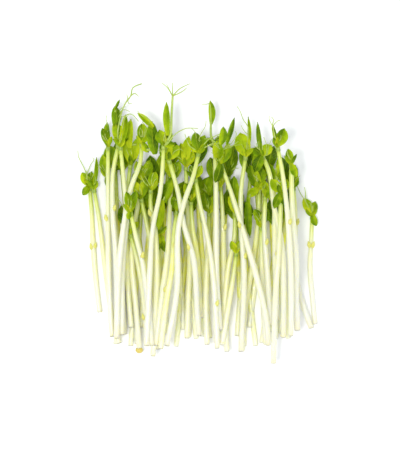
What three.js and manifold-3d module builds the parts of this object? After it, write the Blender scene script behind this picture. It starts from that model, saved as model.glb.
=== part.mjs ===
import * as THREE from 'three';
import { mergeVertices } from 'three/addons/utils/BufferGeometryUtils.js';
import Module from 'manifold-3d';

// A bunch of cut pea shoots that lies loose on a flat surface: pale stems side by side and over
// each other, cut ends towards -Y, leafy tops with tendrils towards +Y. Millimetres, +Z up.
//
// Every shoot is laid in turn, the lowest first. Its course in plan is chosen by hand, in squares
// of a laying-out sheet, and its height comes from what it rests on. A stem is a node of its own,
// except for the lowest ones, which are joined where they cross. The tops of neighbouring shoots
// are tangled, so the green tops of each tuft are one node, held together by a tendril.

const wasm = await Module();
wasm.setup();

// ---- the laying-out sheet ----
const SQUARE = 0.45;
const SHEET_CENTRE = [197.6, 223.2];

// ---- stems ----
const STEM_RADIUS = 1.35;
const THICKER = 1.12;
const STEM_SIDES = 6;
const STEM_STEP = 19;
const FLAT_STEM_STEP = 40;
const CROWN_TAPER = 0.88;
const FLAT_SIDE_DOWN = Math.cos(Math.PI / STEM_SIDES);

// ---- scale leaves on the stems, and the husk at one foot ----
const SCALE_LEAF = { length: 1.9, width: 0.95, depth: 0.75, lean: 0.6 };
const HUSK = { radius: 1.7, depth: 1.35, above: 0.1 };

// ---- tops ----
const BUD = { radius: 1.6, length: 1.9, ahead: 2.1, clearing: 1.9 };
const BLADE_THICKNESS = 0.85;
const BLADE_OUTLINE = [[0.24, 0.82], [0.55, 1], [0.84, 0.62]];
const SLIM_OUTLINE = [[0.32, 0.9], [0.72, 0.88]];
const SLIM_WIDTH = 10.5 * SQUARE;
const BLADE_FOLD = 0.22;
const BLADE_ARCH = 0.04;
const BLADE_WAVE = 0.15;
const LEAF_LIFT = 0.12;
const BLADE_SEAT = 0.9;
const PETIOLE_SUNK = 1.3;
const SMOOTHING = 0.2;
const PETIOLE_RADIUS = 0.55;
const TENDRIL_RADIUS = 0.48;
const TENDRIL_TAPER = 0.8;
const LINK = { radius: 0.5, shortest: 1.2, step: 5, steep: 2, tries: 60 };
const NEAR_BUD = 2.4;

// ---- how things lie on each other ----
const GAP = 0.32;
const CLEARING = 0.12;
const BITE = 0.35;
const CELL = 0.3;
const MAP_REACH = 75;
const MAP_SIDE = Math.ceil((2 * MAP_REACH) / CELL);
const STEP = 0.6;
const MOST_HELD = 0.6;
const MOST_EXTRA = 1.2;
const STEEPEST = 0.22;

const GREEN = { color: 0x7fae1e, roughness: 0.5, metalness: 0 };
const PALE = { color: 0xeef0d2, roughness: 0.45, metalness: 0 };

// The shoots of each tuft, lowest tuft first. course: the stem from its crown to its cut foot.
// leaves: base, tip and width. tendrils: points, where the first is on the top's own growth.
// scales: how far down the sheet a scale leaf sits on the stem, and on which side of it.
const TUFTS = [
  {
    name: 'far_left',
    shoots: [
      {
        course: [[89, 190], [91, 215], [92, 240], [95, 280], [99, 313]],
        leaves: [[88, 187, 81, 172, 9], [89, 187, 91, 171, 8], [87, 187, 82, 195, 7]],
        tendrils: [[[86, 174], [81, 163], [78, 157], [77, 150]]],
        scales: [[247, -1], [246, 1]],
      },
      {
        course: [[94, 192], [99, 222], [104, 262], [112, 320], [119, 344]],
        leaves: [[94, 189, 96, 157, 4]],
        tendrils: [],
        scales: [],
      },
    ],
  },
  {
    name: 'far_right',
    shoots: [
      {
        course: [[313, 219], [312, 242], [311, 270], [314, 305], [316, 325]],
        leaves: [[311, 215, 304, 198, 10], [312, 215, 316, 201, 8], [313, 215, 317, 226, 7]],
        tendrils: [[[306, 201], [301, 193], [298, 186]], [[307, 200], [306, 193], [305, 187]]],
        scales: [[245, 1], [245, -1]],
      },
    ],
  },
  {
    name: 'low_left',
    shoots: [
      {
        course: [[107, 180], [112, 205], [117, 240], [122, 300], [124, 335]],
        leaves: [[105, 177, 102, 154, 9], [104, 172, 107, 187, 6]],
        tendrils: [[[106, 178], [112, 190], [120, 202], [126, 214]]],
        scales: [[243, -1]],
      },
      {
        course: [[130, 168], [127, 190], [125, 215], [126, 245], [128, 290], [131, 328]],
        leaves: [[130, 165, 125, 131, 10], [131, 165, 138, 137, 10], [130, 145, 131, 119, 9]],
        tendrils: [],
        scales: [],
      },
      {
        course: [[142, 184], [138, 205], [133, 235], [132, 265], [136, 310], [139, 350]],
        leaves: [[142, 182, 136, 161, 10], [142, 182, 150, 160, 11]],
        tendrils: [],
        scales: [],
        husk: true,
      },
    ],
  },
  {
    name: 'low_mid_left',
    shoots: [
      {
        course: [[131, 237], [137, 260], [142, 285], [145, 315], [146, 345]],
        leaves: [[131, 233, 126, 220, 7], [132, 233, 139, 222, 7]],
        tendrils: [],
        scales: [[317, -1]],
      },
      {
        course: [[142, 202], [147, 226], [152, 255], [155, 305], [158, 350]],
        leaves: [[141, 200, 134, 181, 9], [142, 200, 148, 180, 10]],
        tendrils: [],
        scales: [],
      },
      {
        course: [[160, 238], [159, 262], [158, 310], [156, 346]],
        leaves: [[160, 235, 155, 254, 7], [161, 235, 165, 252, 7], [160, 235, 156, 211, 10]],
        tendrils: [],
        scales: [[318, -1]],
      },
      {
        course: [[151, 193], [151, 208], [156, 235], [157, 290], [153, 356]],
        leaves: [[152, 191, 156, 172, 10], [151, 191, 145, 179, 6]],
        tendrils: [[[150, 189], [145, 183], [141, 176]]],
        scales: [[213, -1]],
      },
    ],
  },
  {
    name: 'low_mid',
    shoots: [
      {
        course: [[186, 170], [187, 200], [190, 250], [188, 305], [187, 339]],
        leaves: [[186, 167, 189, 136, 10], [185, 167, 181, 143, 11], [187, 167, 193, 151, 9]],
        tendrils: [],
        scales: [],
      },
      {
        course: [[172, 182], [170, 205], [168, 250], [163, 290], [156, 345]],
        leaves: [[171, 180, 165, 160, 10], [172, 180, 179, 161, 10], [170, 181, 162, 205, 10],
          [162, 203, 159, 230, 9]],
        tendrils: [],
        scales: [[289, 1]],
      },
      {
        course: [[177, 214], [174, 235], [172, 270], [166, 305], [161, 348]],
        leaves: [[176, 211, 172, 197, 8], [178, 211, 184, 197, 8], [178, 211, 185, 213, 6]],
        tendrils: [],
        scales: [[245, 1]],
      },
      {
        course: [[191, 205], [193, 230], [197, 256], [199, 290], [202, 318]],
        leaves: [[190, 203, 185, 183, 9], [192, 203, 198, 185, 9]],
        tendrils: [],
        scales: [],
      },
    ],
  },
  {
    name: 'low_mid_right',
    shoots: [
      {
        course: [[209, 216], [208, 240], [206, 300], [207, 345]],
        leaves: [[208, 213, 204, 192, 10], [209, 213, 214, 195, 9], [208, 213, 203, 205, 6]],
        tendrils: [],
        scales: [],
      },
      {
        course: [[221, 190], [223, 222], [224, 280], [224, 318]],
        leaves: [[220, 187, 215, 166, 8], [219, 180, 217, 194, 6], [221, 187, 225, 170, 8]],
        tendrils: [],
        scales: [[227, 1]],
      },
      {
        course: [[235, 216], [234, 240], [228, 270], [225, 310], [227, 352]],
        leaves: [[235, 213, 231, 193, 10], [236, 213, 243, 193, 10], [236, 198, 234, 176, 11]],
        tendrils: [],
        scales: [],
      },
      {
        course: [[236, 256], [232, 285], [226, 320], [222, 345]],
        leaves: [[236, 253, 231, 241, 7], [237, 253, 242, 240, 7]],
        tendrils: [],
        scales: [],
      },
    ],
  },
  {
    name: 'low_right',
    shoots: [
      {
        course: [[259, 192], [258, 222], [253, 262], [246, 305], [242, 352]],
        leaves: [[258, 189, 250, 165, 12], [259, 189, 263, 168, 10], [257, 190, 247, 197, 8],
          [248, 200, 250, 238, 7]],
        tendrils: [],
        scales: [[217, -1]],
      },
      {
        course: [[261, 230], [262, 270], [264, 310], [266, 345]],
        leaves: [[260, 227, 254, 209, 9], [262, 227, 268, 209, 9]],
        tendrils: [],
        scales: [],
      },
      {
        course: [[265, 200], [264, 230], [267, 270], [271, 325]],
        leaves: [[265, 198, 264, 181, 8], [266, 198, 272, 185, 8]],
        tendrils: [],
        scales: [[242, 1]],
      },
      {
        course: [[274, 186], [274, 225], [275, 265], [277, 320]],
        leaves: [[273, 183, 268, 164, 9], [275, 183, 281, 162, 9], [272, 185, 266, 199, 8]],
        tendrils: [],
        scales: [[253, 1]],
      },
    ],
  },
  {
    name: 'lower_right',
    shoots: [
      {
        course: [[294, 190], [296, 225], [295, 259], [300, 293], [312, 329]],
        leaves: [[293, 187, 291, 172, 8], [294, 187, 298, 175, 6]],
        tendrils: [],
        scales: [[222, 1]],
      },
    ],
  },
  {
    name: 'top_left',
    shoots: [
      {
        course: [[108, 150], [108, 190], [108, 250], [110, 310], [112, 337]],
        leaves: [[107, 148, 102, 128, 8], [108, 148, 107, 122, 7]],
        tendrils: [],
        scales: [[218, -1]],
      },
      {
        course: [[118, 148], [113, 175], [113, 214], [116, 255], [117, 310], [117, 336]],
        leaves: [[117, 145, 115, 121, 11], [114, 124, 115, 106, 10], [116, 108, 120, 100, 3]],
        tendrils: [
          [[118, 132], [122, 112], [126, 103], [131, 96], [133, 88], [142, 84]],
          [[131, 96], [135, 94], [139, 97]],
          [[126, 103], [128, 99], [127, 95]],
        ],
        scales: [[208, 1]],
      },
      {
        course: [[121, 150], [125, 190], [127, 220], [123, 265], [122, 335]],
        leaves: [[121, 147, 126, 115, 7]],
        tendrils: [[[125, 119], [132, 115], [139, 122]]],
        scales: [],
      },
      {
        course: [[142, 147], [140, 165], [131, 190], [124, 228], [119, 275], [117, 338]],
        leaves: [[141, 145, 142, 124, 12], [143, 144, 149, 129, 8], [144, 145, 149, 153, 7],
          [155, 152, 152, 122, 12], [152, 126, 138, 114, 6]],
        tendrils: [],
        scales: [],
      },
    ],
  },
  {
    name: 'top_mid',
    shoots: [
      {
        course: [[132, 216], [138, 243], [144, 268], [149, 310], [152, 345]],
        leaves: [[131, 213, 127, 192, 8], [133, 213, 137, 191, 8], [131, 209, 129, 220, 5]],
        tendrils: [],
        scales: [[255, 1]],
      },
      {
        course: [[170, 164], [178, 192], [184, 225], [194, 262], [197, 310], [199, 335]],
        leaves: [[170, 161, 169, 141, 10], [172, 161, 179, 146, 9]],
        tendrils: [],
        scales: [[247, -1]],
      },
      {
        course: [[164, 150], [161, 190], [153, 230], [150, 280], [147, 345]],
        leaves: [[163, 148, 160, 131, 11], [165, 148, 171, 132, 11], [165, 148, 175, 146, 7],
          [168, 134, 167, 104, 7]],
        tendrils: [
          [[166, 146], [171, 135], [172, 115], [173, 98]],
          [[173, 98], [168, 90], [162, 85]],
          [[173, 98], [182, 94], [187, 90]],
          [[173, 98], [173, 91], [173, 85]],
          [[173, 98], [180, 91], [190, 86]],
          [[168, 145], [175, 136], [186, 130], [198, 130]],
        ],
        scales: [],
      },
    ],
  },
  {
    name: 'top_centre',
    shoots: [
      {
        course: [[215, 152], [216, 200], [216, 250], [217, 290], [220, 330]],
        leaves: [[214, 149, 207, 138, 8], [211, 123, 210, 101, 7], [216, 149, 220, 136, 7]],
        tendrils: [[[214, 148], [211, 136], [211, 122]], [[210, 106], [206, 105], [202, 105]]],
        scales: [],
        thick: true,
      },
      {
        course: [[196, 182], [200, 205], [208, 241], [213, 277], [216, 320], [217, 348]],
        leaves: [[195, 179, 190, 166, 8], [197, 179, 202, 166, 8]],
        tendrils: [],
        scales: [[303, 1]],
      },
      {
        course: [[198, 157], [193, 178], [184, 204], [178, 235], [177, 290], [167, 345]],
        leaves: [[197, 154, 195, 133, 11], [199, 154, 205, 136, 10], [197, 154, 190, 145, 7]],
        tendrils: [
          [[200, 152], [209, 146], [219, 143], [230, 142]],
          [[199, 152], [208, 141], [222, 134]],
          [[190, 147], [187, 141], [185, 135]],
        ],
        scales: [],
      },
    ],
  },
  {
    name: 'top_right',
    shoots: [
      {
        course: [[245, 160], [241, 190], [241, 225], [244, 275], [242, 330], [241, 352]],
        leaves: [[245, 157, 240, 133, 16], [247, 154, 248, 117, 4]],
        tendrils: [[[248, 130], [243, 120], [240, 112], [237, 107]]],
        scales: [[256, 1]],
      },
      {
        course: [[222, 168], [232, 196], [245, 238], [257, 280], [266, 318], [268, 345]],
        leaves: [[221, 165, 217, 141, 11], [223, 165, 229, 144, 10], [221, 166, 215, 183, 9],
          [221, 143, 223, 128, 8], [227, 143, 234, 119, 5]],
        tendrils: [[[222, 150], [230, 148], [238, 142]]],
        scales: [[225, -1]],
      },
      {
        course: [[263, 160], [269, 175], [273, 205], [282, 255], [283, 337]],
        leaves: [[264, 157, 271, 146, 11], [260, 152, 257, 123, 5], [261, 157, 253, 149, 10],
          [260, 158, 254, 173, 10]],
        tendrils: [],
        scales: [],
      },
    ],
  },
  {
    name: 'top_far_right',
    shoots: [
      {
        course: [[280, 197], [278, 250], [275, 290], [273, 363]],
        leaves: [[279, 194, 270, 180, 10], [281, 194, 286, 180, 10], [278, 195, 273, 209, 8],
          [282, 195, 286, 208, 7]],
        tendrils: [],
        scales: [],
      },
      {
        course: [[290, 169], [291, 210], [295, 260], [295, 290], [297, 330]],
        leaves: [[289, 166, 287, 150, 8], [292, 166, 295, 178, 7]],
        tendrils: [],
        scales: [],
        thick: true,
      },
      {
        course: [[277, 152], [282, 180], [286, 215], [289, 262], [290, 300], [290, 335]],
        leaves: [[278, 149, 283, 130, 12], [276, 150, 271, 126, 4], [277, 149, 276, 136, 7]],
        tendrils: [[[272, 130], [275, 124], [279, 122]], [[271, 128], [272, 122], [270, 119]]],
        scales: [[222, 1]],
      },
    ],
  },
];

// The lowest shoots lie flat on the surface. Their crowns and feet stand in slots across the
// bunch, and the feet change places so that the stems of a tuft cross each other.
const UNDER = {
  tufts: 3,
  footSlots: [1, 3, 0, 5, 2, 7, 4, 8, 6],
  firstSlot: 116,
  slot: 6.4,
  tuftGap: 3.2,
  crownRow: [168, 234],
  footRow: [328, 348],
  stray: 1.5,
  leaf: { ahead: 4, reach: [22, 32], lean: [4, 10], width: [12, 16] },
  seed: 23,
};

// ---- small sums ----
const place = ([across, down]) => [
  (across - SHEET_CENTRE[0]) * SQUARE,
  (SHEET_CENTRE[1] - down) * SQUARE,
];
const between = (a, b, t) => a + (b - a) * t;
const mixed = (p, q, t) => p.map((v, k) => between(v, q[k], t));
const apart = (p, q) => Math.hypot(q[0] - p[0], q[1] - p[1]);

// A repeatable draw between 0 and 1 (mulberry32).
function drawFrom(seed) {
  let state = seed;
  return () => {
    state = (state + 0x6d2b79f5) | 0;
    let t = Math.imul(state ^ (state >>> 15), 1 | state);
    t = (t + Math.imul(t ^ (t >>> 7), 61 | t)) ^ t;
    return ((t ^ (t >>> 14)) >>> 0) / 4294967296;
  };
}

// A smooth curve through the points (Catmull-Rom), as even steps of about the given length.
function smoothCourse(points, step) {
  const fine = [];
  const rounds = 12;
  for (let k = 0; k < points.length - 1; k++) {
    const before = points[Math.max(k - 1, 0)];
    const from = points[k];
    const to = points[k + 1];
    const after = points[Math.min(k + 2, points.length - 1)];
    for (let n = 0; n < rounds; n++) {
      const t = n / rounds;
      fine.push(from.map((v, a) => 0.5 * (2 * v + (to[a] - before[a]) * t
        + (2 * before[a] - 5 * v + 4 * to[a] - after[a]) * t * t
        + (3 * v - before[a] - 3 * to[a] + after[a]) * t * t * t)));
    }
  }
  fine.push(points[points.length - 1]);
  return evenSteps(fine, step);
}

function evenSteps(points, step) {
  const along = [0];
  for (let k = 1; k < points.length; k++) {
    along.push(along[k - 1] + apart(points[k - 1], points[k]));
  }
  const length = along[along.length - 1];
  const count = Math.max(1, Math.round(length / step));
  const stations = [];
  let k = 0;
  for (let n = 0; n <= count; n++) {
    const target = (length * n) / count;
    while (k < points.length - 2 && along[k + 1] < target) k++;
    const t = (target - along[k]) / (along[k + 1] - along[k]);
    stations.push(mixed(points[k], points[k + 1], Math.min(1, t)));
  }
  return stations;
}

// ---- the height map: the top of all that is laid, 0 on the bare surface ----
const pile = new Float32Array(MAP_SIDE * MAP_SIDE);
const tangle = new Float32Array(MAP_SIDE * MAP_SIDE);
const cellAt = (v) => Math.round((v + MAP_REACH) / CELL);
const middleOf = (index) => index * CELL - MAP_REACH;

function overDisc(x, y, radius, visit) {
  const reach = Math.ceil(radius / CELL);
  for (let i = cellAt(x) - reach; i <= cellAt(x) + reach; i++) {
    for (let j = cellAt(y) - reach; j <= cellAt(y) + reach; j++) {
      const away = Math.hypot(middleOf(i) - x, middleOf(j) - y);
      if (away <= radius) visit(i * MAP_SIDE + j, away);
    }
  }
}

const dome = (radius, away) => Math.sqrt(Math.max(0, radius * radius - away * away));

// The lowest height for the middle of a round thing that lies over this place. A green line may
// bite into the tops of its own tuft.
function roundRest(x, y, radius, bite) {
  let height = -Infinity;
  overDisc(x, y, radius + GAP, (cell, away) => {
    const near = Math.max(0, away - CELL / 2);
    if (pile[cell] > 0) height = Math.max(height, pile[cell] + dome(radius + GAP, near));
    if (tangle[cell] === 0) return;
    if (!bite) height = Math.max(height, tangle[cell] + dome(radius + GAP, near));
    else if (near < radius) height = Math.max(height, tangle[cell] - bite + dome(radius, near));
  });
  return height;
}

// The lowest height for the top of a blade over this place.
function bladeRest(x, y) {
  let height = BLADE_THICKNESS;
  overDisc(x, y, GAP + CELL / 2, (cell) => {
    if (pile[cell] > 0) height = Math.max(height, pile[cell] + GAP + BLADE_THICKNESS);
    if (tangle[cell] > 0) height = Math.max(height, tangle[cell] - BITE + BLADE_THICKNESS);
  });
  return height;
}

function stampRound(map, x, y, z, radius) {
  overDisc(x, y, radius, (cell, away) => {
    map[cell] = Math.max(map[cell], z + dome(radius, away));
  });
}

// Raises the corners of each facet to the highest thing under it. A held corner stays, and the
// others make up for it, except close to it.
function raise(heights, held, samples) {
  for (const { corners, shares, need } of samples) {
    let low = 0;
    let lowShare = 0;
    corners.forEach((corner, k) => {
      if (!held.has(corner)) return;
      low += heights[corner] * shares[k];
      lowShare += shares[k];
    });
    if (lowShare > MOST_HELD) continue;
    const height = Math.max(need, Math.min((need - low) / (1 - lowShare), need + MOST_EXTRA));
    for (const corner of corners) {
      if (!held.has(corner)) heights[corner] = Math.max(heights[corner], height);
    }
  }
}

// Heights for a round line over its stations: floor is the lowest, held stations stay put.
function layLine(stations, radius, start, floor, bite = 0, held = new Set()) {
  const heights = stations.map((_, k) => (held.has(k) ? start[k] : Math.max(floor, start[k])));
  const samples = lineSamples(stations);
  for (const sample of samples) {
    sample.need = Math.max(floor, roundRest(sample.x, sample.y, radius, bite));
  }
  raise(heights, held, samples);
  return heights;
}

function lineSamples(stations) {
  const samples = [];
  for (let k = 0; k < stations.length - 1; k++) {
    const count = Math.ceil(apart(stations[k], stations[k + 1]) / STEP);
    for (let n = 0; n <= count; n++) {
      const t = n / count;
      const [x, y] = mixed(stations[k], stations[k + 1], t);
      samples.push({ corners: [k, k + 1], shares: [1 - t, t], x, y });
    }
  }
  return samples;
}

// A stem is too stiff to drop off what it lies on: it falls away on both sides at an even slope.
function stiffen(stations, heights) {
  const last = stations.length - 1;
  for (let k = 1; k <= last; k++) {
    const drop = STEEPEST * apart(stations[k - 1], stations[k]);
    heights[k] = Math.max(heights[k], heights[k - 1] - drop);
  }
  for (let k = last - 1; k >= 0; k--) {
    const drop = STEEPEST * apart(stations[k + 1], stations[k]);
    heights[k] = Math.max(heights[k], heights[k + 1] - drop);
  }
}

function stampLine(map, stations, heights, radius) {
  for (let k = 0; k < stations.length - 1; k++) {
    const count = Math.ceil(apart(stations[k], stations[k + 1]) / (CELL / 2));
    for (let n = 0; n <= count; n++) {
      const [x, y] = mixed(stations[k], stations[k + 1], n / count);
      stampRound(map, x, y, between(heights[k], heights[k + 1], n / count), radius);
    }
  }
}

// ---- solids ----
function solidOf(geometry) {
  geometry.deleteAttribute('normal');
  geometry.deleteAttribute('uv');
  const merged = mergeVertices(geometry, 1e-4);
  return new wasm.Manifold(new wasm.Mesh({
    numProp: 3,
    vertProperties: merged.attributes.position.array,
    triVerts: new Uint32Array(merged.index.array),
  }));
}

// A straight prism is extruded in as many steps as the line has, and each ring is moved to its
// station, upright and square to the line's course in plan.
function lineSolid(stations, heights, radii, sides) {
  const turn = Math.PI / sides - Math.PI / 2;
  const corners = [];
  for (let n = 0; n < sides; n++) {
    const angle = turn + (2 * Math.PI * n) / sides;
    corners.push(new THREE.Vector2(Math.cos(angle), Math.sin(angle)));
  }
  const last = stations.length - 1;
  const prism = new THREE.ExtrudeGeometry(new THREE.Shape(corners), {
    depth: last, steps: last, bevelEnabled: false,
  });
  const spots = prism.attributes.position;
  for (let n = 0; n < spots.count; n++) {
    const k = Math.round(spots.getZ(n));
    const from = stations[Math.max(k - 1, 0)];
    const to = stations[Math.min(k + 1, last)];
    const length = apart(from, to);
    const side = spots.getX(n) * radii[k];
    const right = [(to[1] - from[1]) / length, -(to[0] - from[0]) / length];
    spots.setXYZ(n, stations[k][0] - right[0] * side, stations[k][1] - right[1] * side,
      heights[k] + spots.getY(n) * radii[k]);
  }
  return solidOf(prism);
}

// A pointed scale leaf or a bud: an icosahedron or octahedron, stretched and turned into place.
function lumpSolid(shape, centre, direction, [length, width, depth], lean = 0) {
  shape.scale(length, width, depth);
  shape.rotateY(-lean);
  shape.rotateZ(Math.atan2(direction[1], direction[0]));
  shape.translate(...centre);
  return solidOf(shape);
}

// The top face of a blade as a base point, rows of left edge, midrib and right edge, and a tip.
function bladeTriangles(rows) {
  const tip = rows * 3 + 1;
  const triangles = [[0, 2, 1], [0, 3, 2]];
  for (let row = 0; row < rows - 1; row++) {
    const left = 1 + row * 3;
    triangles.push([left, left + 1, left + 4], [left, left + 4, left + 3]);
    triangles.push([left + 1, left + 2, left + 4], [left + 2, left + 5, left + 4]);
  }
  triangles.push([tip - 3, tip - 2, tip], [tip - 2, tip - 1, tip]);
  return triangles;
}

function bladeRim(rows) {
  const rim = [0];
  for (let row = 0; row < rows; row++) rim.push(3 + row * 3);
  rim.push(rows * 3 + 1);
  for (let row = rows - 1; row >= 0; row--) rim.push(1 + row * 3);
  return rim;
}

const rowsOf = (plan) => (plan.length - 2) / 3;

function bladeSolid(plan, tops) {
  const count = plan.length;
  const spots = [];
  plan.forEach(([x, y], n) => spots.push(x, y, tops[n]));
  plan.forEach(([x, y], n) => spots.push(x, y, tops[n] - BLADE_THICKNESS));
  const faces = [];
  for (const [a, b, c] of bladeTriangles(rowsOf(plan))) {
    faces.push(a, b, c, a + count, c + count, b + count);
  }
  const rim = bladeRim(rowsOf(plan));
  rim.forEach((corner, n) => {
    const next = rim[(n + 1) % rim.length];
    faces.push(corner, corner + count, next + count, corner, next + count, next);
  });
  const geometry = new THREE.BufferGeometry();
  geometry.setAttribute('position', new THREE.Float32BufferAttribute(spots, 3));
  geometry.setIndex(faces);
  return solidOf(geometry);
}

// ---- a stem ----
// Stations from the crown to the foot, and their heights. The bud just ahead of the crown is laid
// along with the stem, and kept on the shoot.
function layCourse(shoot, radius) {
  const points = shoot.course.map(place);
  const floor = radius * FLAT_SIDE_DOWN;
  const stations = smoothCourse(points, shoot.flat ? FLAT_STEM_STEP : STEM_STEP);
  const bud = mixed(points[0], points[1], -BUD.ahead / apart(points[0], points[1]));
  const whole = [bud, ...stations];
  let heights = whole.map(() => floor);
  if (!shoot.flat) {
    heights[0] = Math.max(floor, roundRest(...bud, BUD.clearing, 0));
    heights = layLine(whole, radius, heights, floor);
    stiffen(whole, heights);
  }
  shoot.bud = [...bud, Math.max(heights[0], BUD.radius)];
  shoot.heading = [bud[0] - points[0][0], bud[1] - points[0][1]];
  return { stations, heights: heights.slice(1) };
}

// The solid stem with its scale leaves, and the room it wants clear of green.
function layStem(shoot) {
  const radius = STEM_RADIUS * (shoot.thick ? THICKER : 1);
  const { stations, heights } = layCourse(shoot, radius);
  const last = stations.length - 1;
  const taper = shoot.flat ? 1 : CROWN_TAPER;
  const radii = stations.map((_, k) => radius * between(taper, 1, Math.min(1, (3 * k) / last)));
  let solid = lineSolid(stations, heights, radii, STEM_SIDES);
  stampLine(pile, stations, heights, radius);
  for (const [row, side] of shoot.scales) {
    solid = solid.add(scaleLeaf(stations, heights, radius, place([0, row])[1], side));
  }
  if (shoot.husk) solid = solid.add(huskAt(stations[last], heights[last]));
  const roomy = radii.map((r) => r + CLEARING);
  return { solid, room: lineSolid(stations, heights, roomy, STEM_SIDES) };
}

// What is left of the pea's skin, still round the foot.
function huskAt(foot, height) {
  const { radius, depth, above } = HUSK;
  const centre = [...foot, height + above];
  stampRound(pile, ...centre, radius);
  return lumpSolid(new THREE.IcosahedronGeometry(1, 0), centre, [0, -1], [radius, radius, depth]);
}

function scaleLeaf(stations, heights, radius, y, side) {
  let k = 0;
  while (k < stations.length - 2 && stations[k + 1][1] > y) k++;
  const t = (y - stations[k][1]) / (stations[k + 1][1] - stations[k][1]);
  const [x] = mixed(stations[k], stations[k + 1], t);
  const z = between(heights[k], heights[k + 1], t) + radius * 0.62;
  const centre = [x + side * radius * 0.62, y, z];
  const { length, width, depth, lean } = SCALE_LEAF;
  stampRound(pile, centre[0], centre[1], z - length * 0.2, length);
  return lumpSolid(new THREE.OctahedronGeometry(1), centre, [side * 0.35, 1],
    [length, width, depth], lean);
}

// ---- a green top ----
function nearestOn(growth, point) {
  let best = growth[0];
  for (const spot of growth) {
    if (apart(spot, point) < apart(best, point)) best = spot;
  }
  return best;
}

// A petiole or tendril grows from the nearest point of what the top already has.
function growLine(growth, points, radius, tipRadius, top) {
  const start = nearestOn(growth, points[0]);
  const stations = [start.slice(0, 2), ...points.filter((p) => apart(p, start) > 0.8)];
  if (stations.length < 2) return start;
  const level = stations.map((_, k) => start[2] + (k > 0 ? BUD.radius : 0));
  const heights = layLine(stations, radius, level, radius, BITE, new Set([0]));
  const last = stations.length - 1;
  const radii = stations.map((_, k) => between(radius, tipRadius, k / last));
  top.solids.push(lineSolid(stations, heights, radii, 3));
  stations.forEach((p, k) => {
    if (k > 0) growth.push([...p, heights[k]]);
  });
  top.lines.push({ stations, heights, radius });
  return [...stations[last], heights[last]];
}

function bladePlan(base, tip, width, outline) {
  const length = apart(base, tip);
  const along = [(tip[0] - base[0]) / length, (tip[1] - base[1]) / length];
  const plan = [base];
  for (const [reach, spread] of outline) {
    for (const side of [1, 0, -1]) {
      const out = (side * spread * width) / 2;
      plan.push([
        base[0] + along[0] * reach * length - along[1] * out,
        base[1] + along[1] * reach * length + along[0] * out,
      ]);
    }
  }
  plan.push(tip);
  return plan;
}

function bladeStart(baseHeight, length, width, outline, order) {
  const fold = order % 2 ? -BLADE_FOLD : BLADE_FOLD;
  const tops = [baseHeight];
  outline.forEach(([reach, spread], row) => {
    const middle = baseHeight + BLADE_ARCH * length * Math.sin(Math.PI * reach);
    for (const side of [1, 0, -1]) {
      const wave = side * BLADE_WAVE * (row % 2 ? 1 : -1);
      tops.push(middle + (Math.abs(side) * fold * spread * width) / 2 + wave);
    }
  });
  tops.push(baseHeight);
  return tops.map((top) => Math.max(top, BLADE_THICKNESS));
}

function growLeaf(shoot, [bx, by, tx, ty, squaresWide], order, growth, top) {
  const [budX, budY, budZ] = shoot.bud;
  const width = squaresWide * SQUARE;
  const outline = shoot.flat || width < SLIM_WIDTH ? SLIM_OUTLINE : BLADE_OUTLINE;
  const tip = place([tx, ty]);
  let base = place([bx, by]);
  let baseHeight = budZ + BLADE_SEAT + order * LEAF_LIFT;
  if (apart(base, [budX, budY]) < NEAR_BUD) {
    base = [budX, budY];
  } else {
    const end = growLine(growth, [base], PETIOLE_RADIUS, PETIOLE_RADIUS, top);
    base = mixed(end, tip, -PETIOLE_SUNK / apart(end, tip)).slice(0, 2);
    baseHeight = end[2] + BLADE_THICKNESS / 2;
  }
  const plan = bladePlan(base, tip, width, outline);
  const tops = bladeStart(baseHeight, apart(base, tip), width, outline, order);
  raise(tops, new Set([0]), bladeSamples(plan, (x, y) => bladeRest(x, y), base));
  top.solids.push(bladeSolid(plan, tops));
  top.blades.push({ plan, tops });
  for (let row = 0; row < rowsOf(plan); row++) {
    growth.push([...plan[2 + row * 3], tops[2 + row * 3] - BLADE_THICKNESS / 2]);
  }
}

function bladeSamples(plan, rest, base) {
  const samples = [];
  for (const corners of bladeTriangles(rowsOf(plan))) {
    const [a, b, c] = corners.map((corner) => plan[corner]);
    const longest = Math.max(apart(a, b), apart(b, c), apart(c, a));
    const count = Math.ceil(longest / (STEP / 2));
    for (let m = 0; m <= count; m++) {
      for (let n = 0; n <= count - m; n++) {
        const shares = [m / count, n / count, 1 - (m + n) / count];
        const x = a[0] * shares[0] + b[0] * shares[1] + c[0] * shares[2];
        const y = a[1] * shares[0] + b[1] * shares[1] + c[1] * shares[2];
        if (apart([x, y], base) < BUD.radius) continue;
        samples.push({ corners, shares, need: rest(x, y), x, y });
      }
    }
  }
  return samples;
}

function stampBlade(map, { plan, tops }) {
  for (const { corners, shares, x, y } of bladeSamples(plan, () => 0, [Infinity, Infinity])) {
    const top = corners.reduce((sum, corner, k) => sum + tops[corner] * shares[k], 0);
    const cell = cellAt(x) * MAP_SIDE + cellAt(y);
    map[cell] = Math.max(map[cell], top);
  }
}

// The bud, tendrils and leaves of one shoot. neighbours: where the tops of its tuft have grown.
function layTop(shoot, neighbours) {
  const bud = lumpSolid(new THREE.OctahedronGeometry(1), shoot.bud, shoot.heading,
    [BUD.length, BUD.radius, BUD.radius]);
  const top = { solids: [bud], lines: [], blades: [] };
  const growth = [shoot.bud];
  shoot.tendrils.forEach((points) => {
    growLine(growth, points.map(place), TENDRIL_RADIUS, TENDRIL_RADIUS * TENDRIL_TAPER, top);
  });
  shoot.leaves.forEach((leaf, order) => growLeaf(shoot, leaf, order, growth, top));
  if (neighbours.length > 0) linkTendril(growth, neighbours, top);
  stampRound(tangle, ...shoot.bud, BUD.radius);
  top.lines.forEach((line) => stampLine(tangle, line.stations, line.heights, line.radius));
  top.blades.forEach((blade) => stampBlade(tangle, blade));
  neighbours.push(...growth);
  return top.solids;
}

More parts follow.
